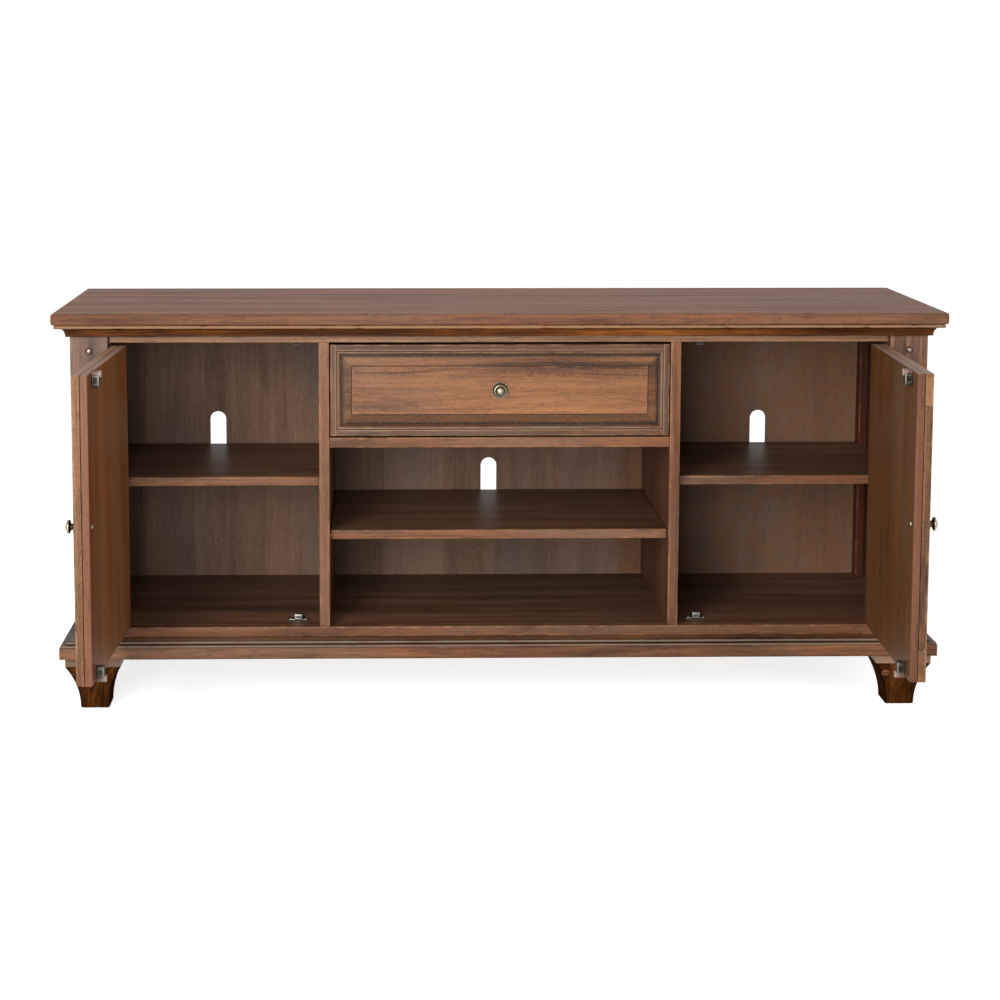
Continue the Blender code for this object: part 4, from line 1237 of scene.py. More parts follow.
@dataclass
class Feet:
    """Four block feet, hollowed from a collar to a narrow sole, with a plug in the right front one."""

    collar: float = 0.0173
    sole_width: float = 0.0565
    sole_round: float = 0.004
    curve: float = 2.1
    steps: int = 20
    arris: float = 0.0018
    clean_from_corner: float = 0.005
    plug_radius: float = 0.0092
    plug_proud: float = 0.0026
    plug_place: Flat = (0.7630, 0.0690)

    def build(self) -> None:
        """Builds the four feet and the plug."""
        for row in ("front", "rear"):
            for side in Side:
                node = f"foot_{row}_{side.word}"
                piece = Piece(f"{node}_piece", Body.CASE, Slot.FOOT, Run.UPRIGHT)
                piece.add(self.block_foot(*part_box(node))).put(FOOT_WOOD, node)
                self.build_collar(node)
        self.build_plug(*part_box("foot_front_right"))

    def build_collar(self, node: str) -> None:
        """Builds the square collar that a foot carries under the base, in a paler wood that paints the light
        on its upright faces over the shaded hollow.

        Args:
            node: The foot's node.
        """
        low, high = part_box(node)
        foot = high.z - self.collar
        collar = Piece(f"{node}_collar", Body.CASE, Slot.FOOT, Run.LEVEL_UPRIGHT)
        shape = block((low.x, low.y, foot), high, ease=0.0016, line=0.002)
        collar.add(soil(shape, 2, foot, reach=0.0005)).put(LIT_COLLAR_WOOD)

    def half_width(self, up: float, top_half: float, hollow_top: float) -> float:
        """Half of a foot's width at a height.

        Args:
            up: The height above the floor.
            top_half: Half of the width of the collar.
            hollow_top: Where the hollow ends under the collar.

        Returns:
            Half of the width.
        """
        sole = self.sole_width / 2
        return sole + (top_half - sole) * min(1.0, up / hollow_top) ** self.curve

    def block_foot(self, low: Vector, high: Vector) -> Shape:
        """One foot between its limits, square in plan with eased corners.

        Args:
            low: Its lowest corner.
            high: Its highest corner.

        Returns:
            The mesh.
        """
        middle = (low + high) / 2
        top_half = (high.x - low.x) / 2
        height = high.z - low.z
        hollow_top = height - self.collar
        sole = self.sole_width / 2
        ease = self.sole_round
        levels = [
            (sole - ease, 0.0, 0.0), (sole - 0.3 * ease, 0.3 * ease, 0.8),
            (sole - 0.05 * ease, 0.75 * ease, 0.4),
        ]
        for step in range(self.steps + 1):
            up = ease + (hollow_top - ease) * step / self.steps
            worn = 0.75 if step == self.steps else 0.0
            levels.append((self.half_width(up, top_half, hollow_top), up, worn))
        shape = new_shape()
        rings = []
        for half, up, wear in levels:
            ring = []
            for x_sign, y_sign in ((1, 1), (-1, 1), (-1, -1), (1, -1)):
                ring += self.corner(shape, middle, half, (x_sign, y_sign), up, wear)
            rings.append(ring)
        shape.faces.new(rings[0])
        shape.faces.new(rings[-1])
        for below, above in zip(rings, rings[1:]):
            skin(shape, below, above)
        return shape

    def corner(
        self, shape: Shape, middle: Vector, half: float, signs: tuple[int, int], up: float, wear: float,
    ) -> list[Vert]:
        """The points that round one corner of a level, in order round the foot.

        Args:
            shape: The mesh.
            middle: The foot's middle.
            half: Half of its width at this level.
            signs: Which corner it is.
            up: The level.
            wear: How worn the flat faces are at this level.

        Returns:
            The points.
        """
        flat = half - self.clean_from_corner
        arris = half - self.arris
        crest = half - 0.3 * self.arris
        # The upright arrises of a foot are darkened through the grime mask: painted shade along its rounded
        # corners.
        rounded = [
            (half, flat, 0.0), (half, arris, 0.9), (crest, crest, 1.0), (arris, half, 0.9),
            (flat, half, 0.0),
        ]
        if signs[0] * signs[1] < 0:
            rounded = rounded[::-1]
        points = []
        for x, y, darkness in rounded:
            vert = shape.verts.new((middle.x + signs[0] * x, middle.y + signs[1] * y, up))
            mark(shape, [vert], wear * (1.0 - darkness), darkness)
            points.append(vert)
        return points

    def build_plug(self, low: Vector, high: Vector) -> None:
        """Builds the round plug near the top of the right front foot.

        Args:
            low: The foot's lowest corner.
            high: Its highest corner.
        """
        x, z = self.plug_place
        top_half = (high.x - low.x) / 2
        hollow_top = high.z - low.z - self.collar
        step = 0.001
        half, half_above = (self.half_width(up, top_half, hollow_top) for up in (z, z + step))
        slope = (half_above - half) / step
        seat = Vector((x, low.y + top_half - half, z))
        radius = self.plug_radius
        proud = self.plug_proud
        profile = [
            (0.0, -HIDDEN_ROOT, 0.0, 0.0), (radius, -HIDDEN_ROOT, 0.0, 1.0), (radius, 0.0004, 0.0, 1.0),
            (0.94 * radius, 0.40 * proud, 0.0, 0.8), (0.84 * radius, 0.68 * proud, 0.3, 0.0),
            (0.60 * radius, 0.88 * proud, 0.2, 0.0), (0.30 * radius, 0.97 * proud, 0.1, 0.0),
            (0.0, proud, 0.1, 0.0),
        ]
        plug = Piece("foot_plug", Body.CASE, Slot.FOOT, Run.LEVEL_UPRIGHT)
        plug.add(turned(profile, sides=32), placement=aim(seat, (0.0, -1.0, -slope))).put(PLUG_WOOD)


@dataclass(frozen=True)
class Board:
    """A straight board of the case: its node, its grain and its wood."""

    node: str
    run: Run
    finish: Wood
    slot: Slot
    ease: float = ARRIS
    line: float = WEAR_LINE
    near_top: float | None = None
    lipping: float = 0.0
    inside_grime: float = 0.0

    def build(self, body: Body = Body.CASE) -> None:
        """Builds the board between its node's limits, with its lipping if it has one.

        Args:
            body: The body that it rides on.
        """
        low, high = limits(self.node, near_top=self.near_top)
        piece = Piece(f"{self.node}_piece", body, self.slot, self.run)
        if self.lipping > 0.0:
            start = low.y + self.lipping
            add_lipping(self.node, (low, Vector((high.x, start - LIPPING_GAP, high.z))), self.run)
            low.y = start
        shape = block(low, high, self.ease, self.line)
        # The face towards the case's middle is darkened through the grime mask: painted shade on a side
        # panel's inner face.
        if self.inside_grime > 0.0:
            inner = min(abs(low.x), abs(high.x))
            inside = [vert for vert in shape.verts if abs(abs(vert.co.x) - inner) < TOUCH]
            mark(shape, inside, grime=self.inside_grime)
        piece.add(shape).put(self.finish, self.node)


def add_lipping(node: str, corners: tuple[Vector, Vector], run: Run) -> None:
    """Glues a strip of solid wood to the front edge of a veneered board.

    Args:
        node: The board's node.
        corners: The strip's two corners.
        run: The way of the board's grain, which the strip follows.
    """
    strip_run = Run.UPRIGHT if run is Run.UPRIGHT_SIDE else Run.LEVEL_UPRIGHT
    strip = Piece(f"{node}_lipping", Body.CASE, Slot.FACE, strip_run)
    strip.add(block(*corners, ease=0.0014)).put(EDGE_WOOD)


@dataclass
class Case:
    """The upright case: posts, panels, rails, dividers, deck and shelves."""

    pin_radius: float = 0.0025
    pin_flange: float = 0.0042
    tip_reach: float = 0.006
    notch_gap: float = 0.0015
    rail_ease: float = 0.0015

    def build(self) -> None:
        """Builds every board of the case."""
        for board in self.boards():
            board.build()
        repaint("deck", SHELF_WOOD, Run.LEVEL)
        repaint("sub_top", INNER_WOOD, Run.LEVEL)
        for side in Side:
            self.build_side_shelf(side)
            self.build_pins(f"divider_{side.word}", side.value, (-1, 1))
            self.build_pins(f"side_panel_{side.word}", side.value, (-1,))

    def boards(self) -> list[Board]:
        """The straight boards of the case."""
        found = [
            Board("top_rail", Run.LEVEL_UPRIGHT, RAIL_WOOD, Slot.FACE, self.rail_ease),
            Board("bottom_rail", Run.LEVEL_UPRIGHT, FACE_WOOD, Slot.FACE, self.rail_ease),
            Board("drawer_deck", Run.LEVEL_UPRIGHT, EDGE_WOOD, Slot.FACE, self.rail_ease),
            Board("shelf_centre", Run.LEVEL, SHELF_WOOD, Slot.SHELF, lipping=LIPPING),
        ]
        # The right post takes the lighter copy of the same wood: painted light.
        for side, post_wood in ((Side.LEFT, POST_WOOD), (Side.RIGHT, LIT_POST_WOOD_RIGHT)):
            upright = Board("", Run.UPRIGHT_SIDE, INNER_WOOD, Slot.INNER, near_top=PROUD_BAND)
            found += [
                Board(f"post_front_{side.word}", Run.UPRIGHT, post_wood, Slot.FACE, ease=0.0022, line=0.006),
                # The rear posts take a darker copy of the inner wood: painted shade.
                Board(f"post_rear_{side.word}", Run.UPRIGHT, SHADED_REAR_POST_WOOD, Slot.FACE),
                # The side panels' inner faces carry painted shade.
                replace(upright, node=f"side_panel_{side.word}", inside_grime=0.45),
                replace(upright, node=f"divider_{side.word}", lipping=LIPPING),
            ]
        return found

    def build_side_shelf(self, side: Side) -> None:
        """Builds a side bay's shelf, notched round the rear post.

        Args:
            side: The side that it is on.
        """
        low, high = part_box(f"shelf_{side.word}")
        post_low, post_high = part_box(f"post_rear_{side.word}")
        inner, outer = sorted((abs(low.x), abs(high.x)))
        notch_x = min(abs(post_low.x), abs(post_high.x)) - self.notch_gap
        notch_y = post_low.y - self.notch_gap
        ends = sorted((side.value * inner, side.value * outer))
        start = low.y + LIPPING
        strip = (Vector((ends[0], low.y, low.z)), Vector((ends[1], start - LIPPING_GAP, high.z)))
        add_lipping(f"shelf_{side.word}", strip, Run.LEVEL)
        outline = [
            (inner, start), (outer, start), (outer, notch_y), (notch_x, notch_y), (notch_x, high.y),
            (inner, high.y),
        ]

        def place(across: float, deep: float, up: float) -> Point:
            """Turns across, depth and height into a point on this side."""
            return side.value * across, deep, low.z + up

        shape = plate(outline, high.z - low.z, place, ARRIS, WEAR_LINE, segments=3)
        piece = Piece(f"shelf_{side.word}_piece", Body.CASE, Slot.SHELF)
        piece.add(shape).put(SHELF_WOOD, f"shelf_{side.word}")

    def build_pins(self, node: str, side: int, senses: Sequence[int]) -> None:
        """Builds the metal shelf pins that stand out of an upright, each with its flange.

        Args:
            node: The upright's node.
            side: Its side of the case, as a sign along X.
            senses: Which of its faces have pins, as signs of X away from the case's middle.
        """
        low, high = limits(node, near_top=PROUD_BAND)
        item = frame["nodes"][node]
        piece = Piece(f"{node}_pins", Body.CASE, Slot.CATCH)
        for sense in senses:
            way = sense * side
            face = high.x if way > 0 else low.x
            tips = [vert.co for vert in item.data.vertices if (vert.co.x - face) * way > self.tip_reach]
            for rear in (False, True):
                middle_y = (low.y + high.y) / 2
                tip = [point for point in tips if (point.y > middle_y) == rear]
                centre = sum(tip, Vector()) / len(tip)
                reach = abs(centre.x - face)
                place = aim((face, centre.y, centre.z), (way, 0.0, 0.0))
                piece.add(turned(self.pin_profile(reach), sides=20), placement=place)
        piece.put(SCREW_STEEL)

    def pin_profile(self, reach: float) -> list[Turned]:
        """The turned outline of a shelf pin on its flange.

        Args:
            reach: How far the pin stands out.

        Returns:
            The outline's points.
        """
        pin = self.pin_radius
        flange = self.pin_flange
        return [
            (0.0, -HIDDEN_ROOT, 0.0, 0.0), (flange, -HIDDEN_ROOT, 0.0, 0.5), (flange, 0.0005, 1.0, 0.0),
            (0.9 * flange, 0.0010, 1.0, 0.0), (pin, 0.0011, 0.2, 0.6), (pin, reach - 0.0006, 0.6, 0.0),
            (0.7 * pin, reach, 1.0, 0.0), (0.0, reach, 1.0, 0.0),
        ]


@dataclass
class BackPanel:
    """The thin back panel with three cable slots."""

    slot_width: float = 0.034
    slot_height: float = 0.102
    slot_rise: float = 0.069
    slot_x: float = 0.5835
    arc_steps: int = 20
    shade_start: float = 0.24
    shade_end: float = 0.31
    shade_wear: float = 1.2
    shade_grime: float = 0.15

    def build(self) -> None:
        """Builds the panel as one sheet with the slots left open."""
        low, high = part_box("back_panel")
        shape = new_shape()
        border = [(low.x, low.z), (high.x, low.z), (high.x, high.z), (low.x, high.z)]
        loops = [border]
        radius = self.slot_width / 2
        for sense, bay in ((-1, "left"), (0, "centre"), (1, "right")):
            x = sense * self.slot_x
            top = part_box(f"shelf_{bay}")[1].z + self.slot_rise
            ends = ((x, top - radius), (x, top - self.slot_height + radius))
            loops.append(oblong(ends, radius, 0, self.arc_steps))
        edges = []
        for loop in loops:
            verts = [shape.verts.new((x, low.y, z)) for x, z in loop]
            edges += [shape.edges.new((verts[index - 1], verts[index])) for index in range(len(verts))]
        bmesh.ops.triangle_fill(shape, use_beauty=True, edges=edges)
        for x in (self.shade_start, self.shade_end):
            every = [*shape.verts, *shape.edges, *shape.faces]
            bmesh.ops.bisect_plane(shape, geom=every, plane_co=(x, 0.0, 0.0), plane_no=(1.0, 0.0, 0.0))
        grown = bmesh.ops.extrude_face_region(shape, geom=list(shape.faces))
        moved = [item for item in grown["geom"] if isinstance(item, Vert)]
        bmesh.ops.translate(shape, vec=(0.0, high.y - low.y, 0.0), verts=moved)
        shaded = [vert for vert in shape.verts if vert.co.x > self.shade_end - TOUCH]
        mark(shape, shaded, wear=self.shade_wear, grime=self.shade_grime)
        panel = Piece("back_panel_piece", Body.CASE, Slot.INNER, Run.UPRIGHT)
        panel.add(shape).put(BACK_WOOD, "back_panel")


@dataclass
class Stud:
    """A round decorative nail head on a front post."""

    side: Side
    dome_steps: int = 8

    def build(self) -> None:
        """Builds the domed head with its turned rim."""
        node = f"stud_{self.side.word}"
        low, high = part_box(node)
        radius = (high.x - low.x) / 2
        height = high.y - low.y
        middle = (low + high) / 2
        profile = [(0.0, 0.0, 0.0, 1.0), (radius, 0.0, 0.0, 1.0), (radius, 0.25 * height, 0.0, 1.0)]
        profile += [(0.93 * radius, 0.36 * height, 0.0, 1.0), (0.84 * radius, 0.30 * height, 0.0, 1.0)]
        for step in range(self.dome_steps):
            share = step / self.dome_steps
            turn = math.pi / 2 * share
            dome = height * (0.32 + 0.68 * math.sin(turn))
            profile.append((0.80 * radius * math.cos(turn), dome, 0.7 * share, 0.0))
        profile.append((0.0, height, 0.7, 0.0))
        stud = Piece(f"{node}_piece", Body.CASE, Slot.BRONZE)
        stud.add(turned(profile), placement=aim((middle.x, high.y, middle.z), TO_FRONT))
        stud.put(STUD_BRONZE, node)


@dataclass
class Knob:
    """A turned mushroom knob on a round plate."""

    node: str
    body: Body
    placement: Matrix
    plate_radius: float = 0.0170
    plate_thickness: float = 0.0020
    neck_radius: float = 0.0060
    head_radius: float = 0.0125
    length: float = 0.0180

    def build(self) -> None:
        """Builds the knob over its node, standing out towards the front."""
        low, high = limits(self.node, self.placement)
        middle = (low + high) / 2
        knob = Piece(f"{self.node}_piece", self.body, Slot.BRONZE, placement=self.placement)
        knob.add(turned(self.profile(), sides=48), placement=aim((middle.x, high.y, middle.z), TO_FRONT))
        knob.put(BRONZE, self.node)

    def profile(self) -> list[Turned]:
        """The turned outline, from the plate to the middle of the head."""
        plate_edge = self.plate_radius
        thick = self.plate_thickness
        neck = self.neck_radius
        head = self.head_radius
        length = self.length
        # The plate's rim is darkened through the grime mask: painted shade round the plate.
        return [
            (0.0, 0.0, 0.0, 1.0), (plate_edge, 0.0, 0.0, 1.0), (plate_edge, 0.5 * thick, 0.0, 1.0),
            (plate_edge - 0.0004, 0.8 * thick, 1.0, 0.0), (plate_edge - 0.0010, thick, 0.9, 0.0),
            (plate_edge - 0.0022, thick, 0.2, 0.6), (plate_edge - 0.0030, 0.75 * thick, 0.0, 1.0),
            (1.5 * neck, 0.80 * thick, 0.1, 0.8), (1.3 * neck, thick, 0.5, 0.2),
            (neck, thick + 0.14 * length, 0.2, 0.5), (0.95 * neck, 0.36 * length, 0.0, 0.8),
            (1.05 * neck, 0.46 * length, 0.0, 0.9), (0.80 * head, 0.54 * length, 0.2, 0.6),
            (0.97 * head, 0.61 * length, 0.7, 0.1), (head, 0.68 * length, 1.0, 0.0),
            (0.985 * head, 0.75 * length, 1.0, 0.0), (0.93 * head, 0.805 * length, 1.0, 0.0),
            (0.84 * head, 0.825 * length, 0.5, 0.3), (0.74 * head, 0.805 * length, 0.0, 1.0),
            (0.64 * head, 0.80 * length, 0.0, 1.0), (0.58 * head, 0.87 * length, 0.5, 0.2),
            (0.50 * head, 0.93 * length, 0.7, 0.0), (0.34 * head, 0.975 * length, 0.3, 0.0),
            (0.16 * head, 0.995 * length, 0.9, 0.0), (0.0, length, 1.0, 0.0),
        ]


@dataclass
class Catch:
    """A magnetic catch: a small box with two pole plates, on a flange with two screws."""

    node: str
    box_width: float = 0.0156
    flange_depth: float = 0.0115
    flange_thickness: float = 0.0015
    pole_width: float = 0.0126
    pole_thickness: float = 0.0012
    pole_spread: float = 0.0060
    pole_proud: float = 0.0006
    pole_root: float = 0.002
    screw_radius: float = 0.0029
    screw_out: float = 0.0150

    def build(self) -> None:
        """Builds the catch over its node."""
        low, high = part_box(self.node)
        upright = 1 if "bottom" in self.node else -1
        seat = low.z if upright > 0 else high.z
        middle = (low + high) / 2
        front = low.y + self.pole_proud
        half = self.box_width / 2
        body = Piece(f"{self.node}_box", Body.CASE, Slot.CATCH)
        corners = ((middle.x - half, front, low.z), (middle.x + half, high.y, high.z))
        body.add(block(*corners, ease=0.0010, line=0.002))
        radius = self.flange_depth / 2
        reach = (high.x - low.x) / 2 - radius
        flange_y = (front + high.y) / 2
        outline = oblong(((middle.x + reach, flange_y), (middle.x - reach, flange_y)), radius, -90, 8)
        thickness = self.flange_thickness

        def lift(x: float, y: float, up: float) -> Point:
            """Turns across, depth and height over the seat into a point in space."""
            return x, y, seat + upright * up

        body.add(plate(outline, thickness, lift, ease=0.0003, line=0.001))
        # The catches under the top take the darker copy: painted shade.
        body.put(CATCH_METAL if upright > 0 else SHADED_CATCH_METAL, self.node)
        poles = Piece(f"{self.node}_poles", Body.CASE, Slot.CATCH)
        across = Vector((self.pole_width / 2, 0.0, 0.0))
        for number in (-1, 1):
            level = middle.z + number * self.pole_spread / 2
            foot = Vector((middle.x, low.y, level - self.pole_thickness / 2))
            head = Vector((middle.x, front + self.pole_root, level + self.pole_thickness / 2))
            poles.add(block(foot - across, head + across, ease=0.0002, line=0.0005))
        poles.put(POLE_STEEL if upright > 0 else SHADED_CATCH_METAL)
        screws = Piece(f"{self.node}_screws", Body.CASE, Slot.CATCH)
        for sign in (-1, 1):
            place = (middle.x + sign * self.screw_out, flange_y, seat + upright * thickness)
            screws.add(screw_head(self.screw_radius), placement=aim(place, (0.0, 0.0, upright)))
        screws.put(SCREW_STEEL if upright > 0 else SHADED_CATCH_METAL)


@dataclass
class Hinge:
    """A butt hinge: two leaves with knuckles in turn on one pin, and countersunk screws."""

    side: Side
    end: str
    door: Body
    placement: Matrix
    knuckle_radius: float = 0.0030
    knuckles: int = 5
    running_gap: float = 0.0003
    leaf_gap: float = 0.0004
    screw_radius: float = 0.0030
    screw_proud: float = 0.00015
    screw_pitch: float = 0.30
    screw_stagger: float = 0.0035
    screws: int = 3
    ease: float = 0.0004

    def build(self) -> None:
        """Builds the post's leaf and the door's leaf."""
        stem = f"hinge_{self.side.word}_{self.end}"
        self.leaf(f"{stem}_post_leaf", 0, Body.CASE, Matrix())
        self.leaf(f"{stem}_door_leaf", 1, self.door, self.placement)

    def leaf(self, node: str, own: int, body: Body, placement: Matrix) -> None:
        """Builds one leaf, its knuckles and its screws.

        Args:
            node: The leaf's node.
            own: 0 if it has the barrel's first knuckle, 1 if it has the second.
            body: The body that it rides on.
            placement: The frame that its node is straight in.
        """
        low, high = limits(node, placement)
        sign = self.side.value
        pivot = self.placement.translation if own == 0 else Vector()
        length = high.z - low.z
        middle = (low.z + high.z) / 2
        root = pivot.y + self.knuckle_radius + self.leaf_gap
        near, far = self.plate_ends(node, placement, root)
        outline = self.comb(pivot.y, root, high.y, length, own)
        piece = Piece(f"{node}_piece", body, Slot.BRASS, placement=placement)

        def place(y: float, z: float, deep: float) -> Point:
            """Turns depth, height and how deep it lies in the plate into a point in space."""
            return near + deep, y, middle + z

        piece.add(plate(outline, far - near, place, ease=0.0003, line=0.0015))
        for span in self.spans(own, length):
            knuckle = turned(self.knuckle(*span), sides=28)
            piece.add(knuckle, placement=Matrix.Translation((pivot.x, pivot.y, middle)))
        piece.put(BRASS, node)
        screws = Piece(f"{node}_screws", body, Slot.BRASS, placement=placement)
        plate_middle = (root + high.y) / 2
        way = -sign if own == 0 else sign
        seat = far if way > 0 else near
        for number in range(self.screws):
            level = middle + length * (number - (self.screws - 1) / 2) * self.screw_pitch
            across = plate_middle + (self.screw_stagger if number % 2 else -self.screw_stagger)
            spot = aim((seat, across, level), (way, 0.0, 0.0))
            screws.add(screw_head(self.screw_radius, self.screw_proud), placement=spot)
        screws.put(SCREW_STEEL)

    def knuckle(self, start: float, stop: float) -> list[Turned]:
        """The turned outline of one knuckle.

        Args:
            start: Its lower end.
            stop: Its upper end.

        Returns:
            The outline's points.
        """
        rad = self.knuckle_radius
        ease = self.ease
        return [
            (0.0, start, 0.0, 0.6), (rad - ease, start, 0.2, 0.6), (rad, start + ease, 1.0, 0.0),
            (rad, start + 3 * ease, 0.3, 0.0), (rad, stop - 3 * ease, 0.3, 0.0),
            (rad, stop - ease, 1.0, 0.0), (rad - ease, stop, 0.2, 0.6), (0.0, stop, 0.0, 0.6),
        ]

    def plate_ends(self, node: str, placement: Matrix, root: float) -> Flat:
        """Where a leaf's two faces lie, read from its node clear of the knuckles.

        Args:
            node: The leaf's node.
            placement: The frame that it is straight in.
            root: Where its plate starts.

        Returns:
            The lower and upper X of the plate.
        """
        back = placement.inverted()
        points = [back @ vert.co for vert in frame["nodes"][node].data.vertices]
        across = [point.x for point in points if point.y > root + self.knuckle_radius]
        return min(across), max(across)

    def spans(self, own: int, length: float) -> list[Flat]:
        """The lower and upper ends of every second knuckle, about the hinge's middle.

        Args:
            own: 0 to start with the first knuckle, 1 with the second.
            length: The barrel's length.

        Returns:
            The ends of each knuckle.
        """
        pitch = (length + self.running_gap) / self.knuckles
        starts = [-length / 2 + number * pitch for number in range(own, self.knuckles, 2)]
        return [(start, start + pitch - self.running_gap) for start in starts]

    def comb(self, tip: float, root: float, far: float, length: float, own: int) -> list[Flat]:
        """The leaf's outline: a plate with a tooth out to the pin under each of its own knuckles.

        Args:
            tip: Where the teeth end, at the pin.
            root: Where the plate starts.
            far: Where it ends.
            length: Its length.
            own: 0 to start with the first knuckle, 1 with the second.

        Returns:
            The outline's corners in order.
        """
        half = length / 2
        outline = [(far, -half), (far, half)]
        for low, high in reversed(self.spans(own, length)):
            if not math.isclose(high, half, abs_tol=1e-6):
                if outline[-1][0] != root:
                    outline.append((root, half))
                outline.append((root, high))
            outline += [(tip, high), (tip, low)]
            if not math.isclose(low, -half, abs_tol=1e-6):
                outline.append((root, low))
        if outline[-1][0] == root:
            outline.append((root, -half))
        return outline


@dataclass
class Panelled:
    """What the doors and the drawer front share: a frame of flat bars, sticking and a raised panel."""

    sticking_width: float = 0.0090
    sticking_depth: float = 0.0055
    sticking_fillet: float = 0.0010
    sticking_steps: int = 8
    groove: float = 0.0020
    bevel: float = 0.0190
    bevel_depth: float = 0.0065
    field_depth: float = 0.0008
    field_step: float = 0.0014
    beside: float = 0.003
    corner_wear: float = 0.75
    joint: float = 0.0002

    def add_frame(
        self, piece: Piece, low: Vector, high: Vector, width: float, back: float, rails_through: bool,
    ) -> None:
        """Adds four flat bars with butt joints and four mitred lengths of sticking.

        Args:
            piece: The piece that they go into.
            low: The frame's lowest corner, whose Y is its front.
            high: Its highest corner.
            width: How wide the flat bars are.
            back: How deep the frame is.
            rails_through: Whether the rails run to the ends, or else the stiles.
        """
        front = low.y
        rear = front + back
        gap = self.joint
        rail_x = (low.x, high.x) if rails_through else (low.x + width + gap, high.x - width - gap)
        stile_z = (low.z + width + gap, high.z - width - gap) if rails_through else (low.z, high.z)
        for z in ((low.z, low.z + width), (high.z - width, high.z)):
            bar = block((rail_x[0], front, z[0]), (rail_x[1], rear, z[1]))
            self.wear_bar(bar, 2, z[1] if z[0] == low.z else z[0], front)
            piece.add(soil(bar, 1, rear), Run.LEVEL_UPRIGHT)
        for x in ((low.x, low.x + width), (high.x - width, high.x)):
            bar = block((x[0], front, stile_z[0]), (x[1], rear, stile_z[1]))
            self.wear_bar(bar, 0, x[1] if x[0] == low.x else x[0], front)
            piece.add(soil(bar, 1, rear), Run.UPRIGHT)
        profile = self.sticking(width + gap, back)
        across = (low.x, high.x)
        upright = (low.z, high.z)
        places = (
            (across, Run.LEVEL_UPRIGHT, lambda along, inset, deep: (along, front + deep, low.z + inset)),
            (across, Run.LEVEL_UPRIGHT, lambda along, inset, deep: (along, front + deep, high.z - inset)),
            (upright, Run.UPRIGHT, lambda along, inset, deep: (low.x + inset, front + deep, along)),
            (upright, Run.UPRIGHT, lambda along, inset, deep: (high.x - inset, front + deep, along)),
        )
        for span, run, place in places:
            piece.add(moulding(profile, span, (1, 1), place), run)

    def wear_bar(self, bar: Shape, axis: int, level: float, front: float) -> None:
        """Leaves wear on a bar's front arrises alone, and rubs the one beside the sticking bare.

        Args:
            bar: The bar's mesh.
            axis: The axis across the bar.
            level: Where its inner edge lies on that axis.
            front: The Y of its front.
        """
        reach = 0.0013
        mark(bar, [vert for vert in bar.verts if vert.co.y > front + 2 * reach], wear=0.0)
        arris = [v for v in bar.verts if abs(v.co[axis] - level) < reach and abs(v.co.y - front) < reach]
        mark(bar, arris, wear=RUBBED)

    def sticking(self, start: float, back: float) -> list[Worked]:
        """The worked edge inside the frame: a small lip, then a quarter round down to the panel.

        Args:
            start: The inset at which it starts.
            back: How deep the frame is.

        Returns:
            The points of the closed profile.
        """
        lip = 0.16 * self.sticking_width
        drop = 0.22 * self.sticking_depth
        end = start + self.sticking_width
        foot = self.sticking_depth + 0.0006
        points = [
            Worked(start, back), Worked(start, drop, 0.0, 1.0), Worked(start + 0.75 * lip, drop, 0.0, 1.0),
        ]
        for step in range(self.sticking_steps + 1):
            share = step / self.sticking_steps
            turn = math.pi / 2 * share
            inset = start + lip + (self.sticking_width - lip - self.sticking_fillet) * math.sin(turn)
            depth = self.sticking_depth - (self.sticking_depth - drop * 0.6) * math.cos(turn)
            worn = RUBBED * max(0.0, 1.0 - 2.4 * share)
            points.append(Worked(inset, depth, worn, max(0.0, 1.6 * share - 0.8)))
        return points + [
            Worked(end - self.sticking_fillet, foot, 0.6, 0.3), Worked(end, foot, 0.3, 0.5),
            Worked(end, self.bevel_depth, 0.0, 1.0), Worked(end, back, 0.0, 1.0),
        ]

    def add_panel(
        self, piece: Piece, low: Vector, high: Vector, edge: float, back: float, run: Run,
    ) -> None:
        """Adds the raised panel, with its mitre lines and arrises marked for wear.

        Args:
            piece: The piece that it goes into.
            low: The whole front's lowest corner, whose Y is its front.
            high: Its highest corner.
            edge: The inset at which the panel starts.
            back: How deep the panel's back lies.
            run: The way of its grain.
        """
        front = low.y
        groove = edge + self.groove
        top = groove + self.bevel
        field_front = self.field_depth
        step_foot = field_front + self.field_step
        rings = [
            (edge, back, 0.0, 1.0, 0.0),
            (edge, self.bevel_depth, 0.0, 1.0, 0.0),
            (groove + 0.0004, self.bevel_depth, 0.0, 1.0, 0.0),
            (groove + 0.0012, self.bevel_depth - 0.0003, 0.0, 0.35, 1.0),
            (groove + 0.006, self.bevel_depth - 0.0016, 0.0, 0.10, 1.0),
            (top - 0.0025, step_foot + 0.0006, 0.0, 0.10, 1.0),
            (top - 0.0008, step_foot, 0.0, 1.0, 0.0),
            (top, step_foot, 0.0, 1.0, 0.0),
            (top + 0.0002, field_front + 0.0004, 0.9, 0.0, 0.0),
            (top + 0.0008, field_front, 1.0, 0.0, 0.0),
            (top + 0.0040, field_front, 0.0, 0.0, 0.0),
        ]
        shape = new_shape()
        loops = [self.panel_ring(shape, low, high, front, ring) for ring in rings]
        shape.faces.new(loops[0])
        shape.faces.new(loops[-1])
        for outer, inner in zip(loops, loops[1:]):
            skin(shape, outer, inner)
        piece.add(shape, run)

    def panel_ring(
        self, shape: Shape, low: Vector, high: Vector, front: float, ring: tuple[float, ...],
    ) -> list[Vert]:
        """One level of the panel: its four corners, each with a point beside it on both edges.

        Args:
            shape: The mesh.
            low: The whole front's lowest corner.
            high: Its highest corner.
            front: The Y of the front.
            ring: The level's inset, depth, wear, grime, and how much darker it is painted low and at the
                sides.

        Returns:
            The points in order round the panel.
        """
        inset, depth, wear, grime, darkening = ring
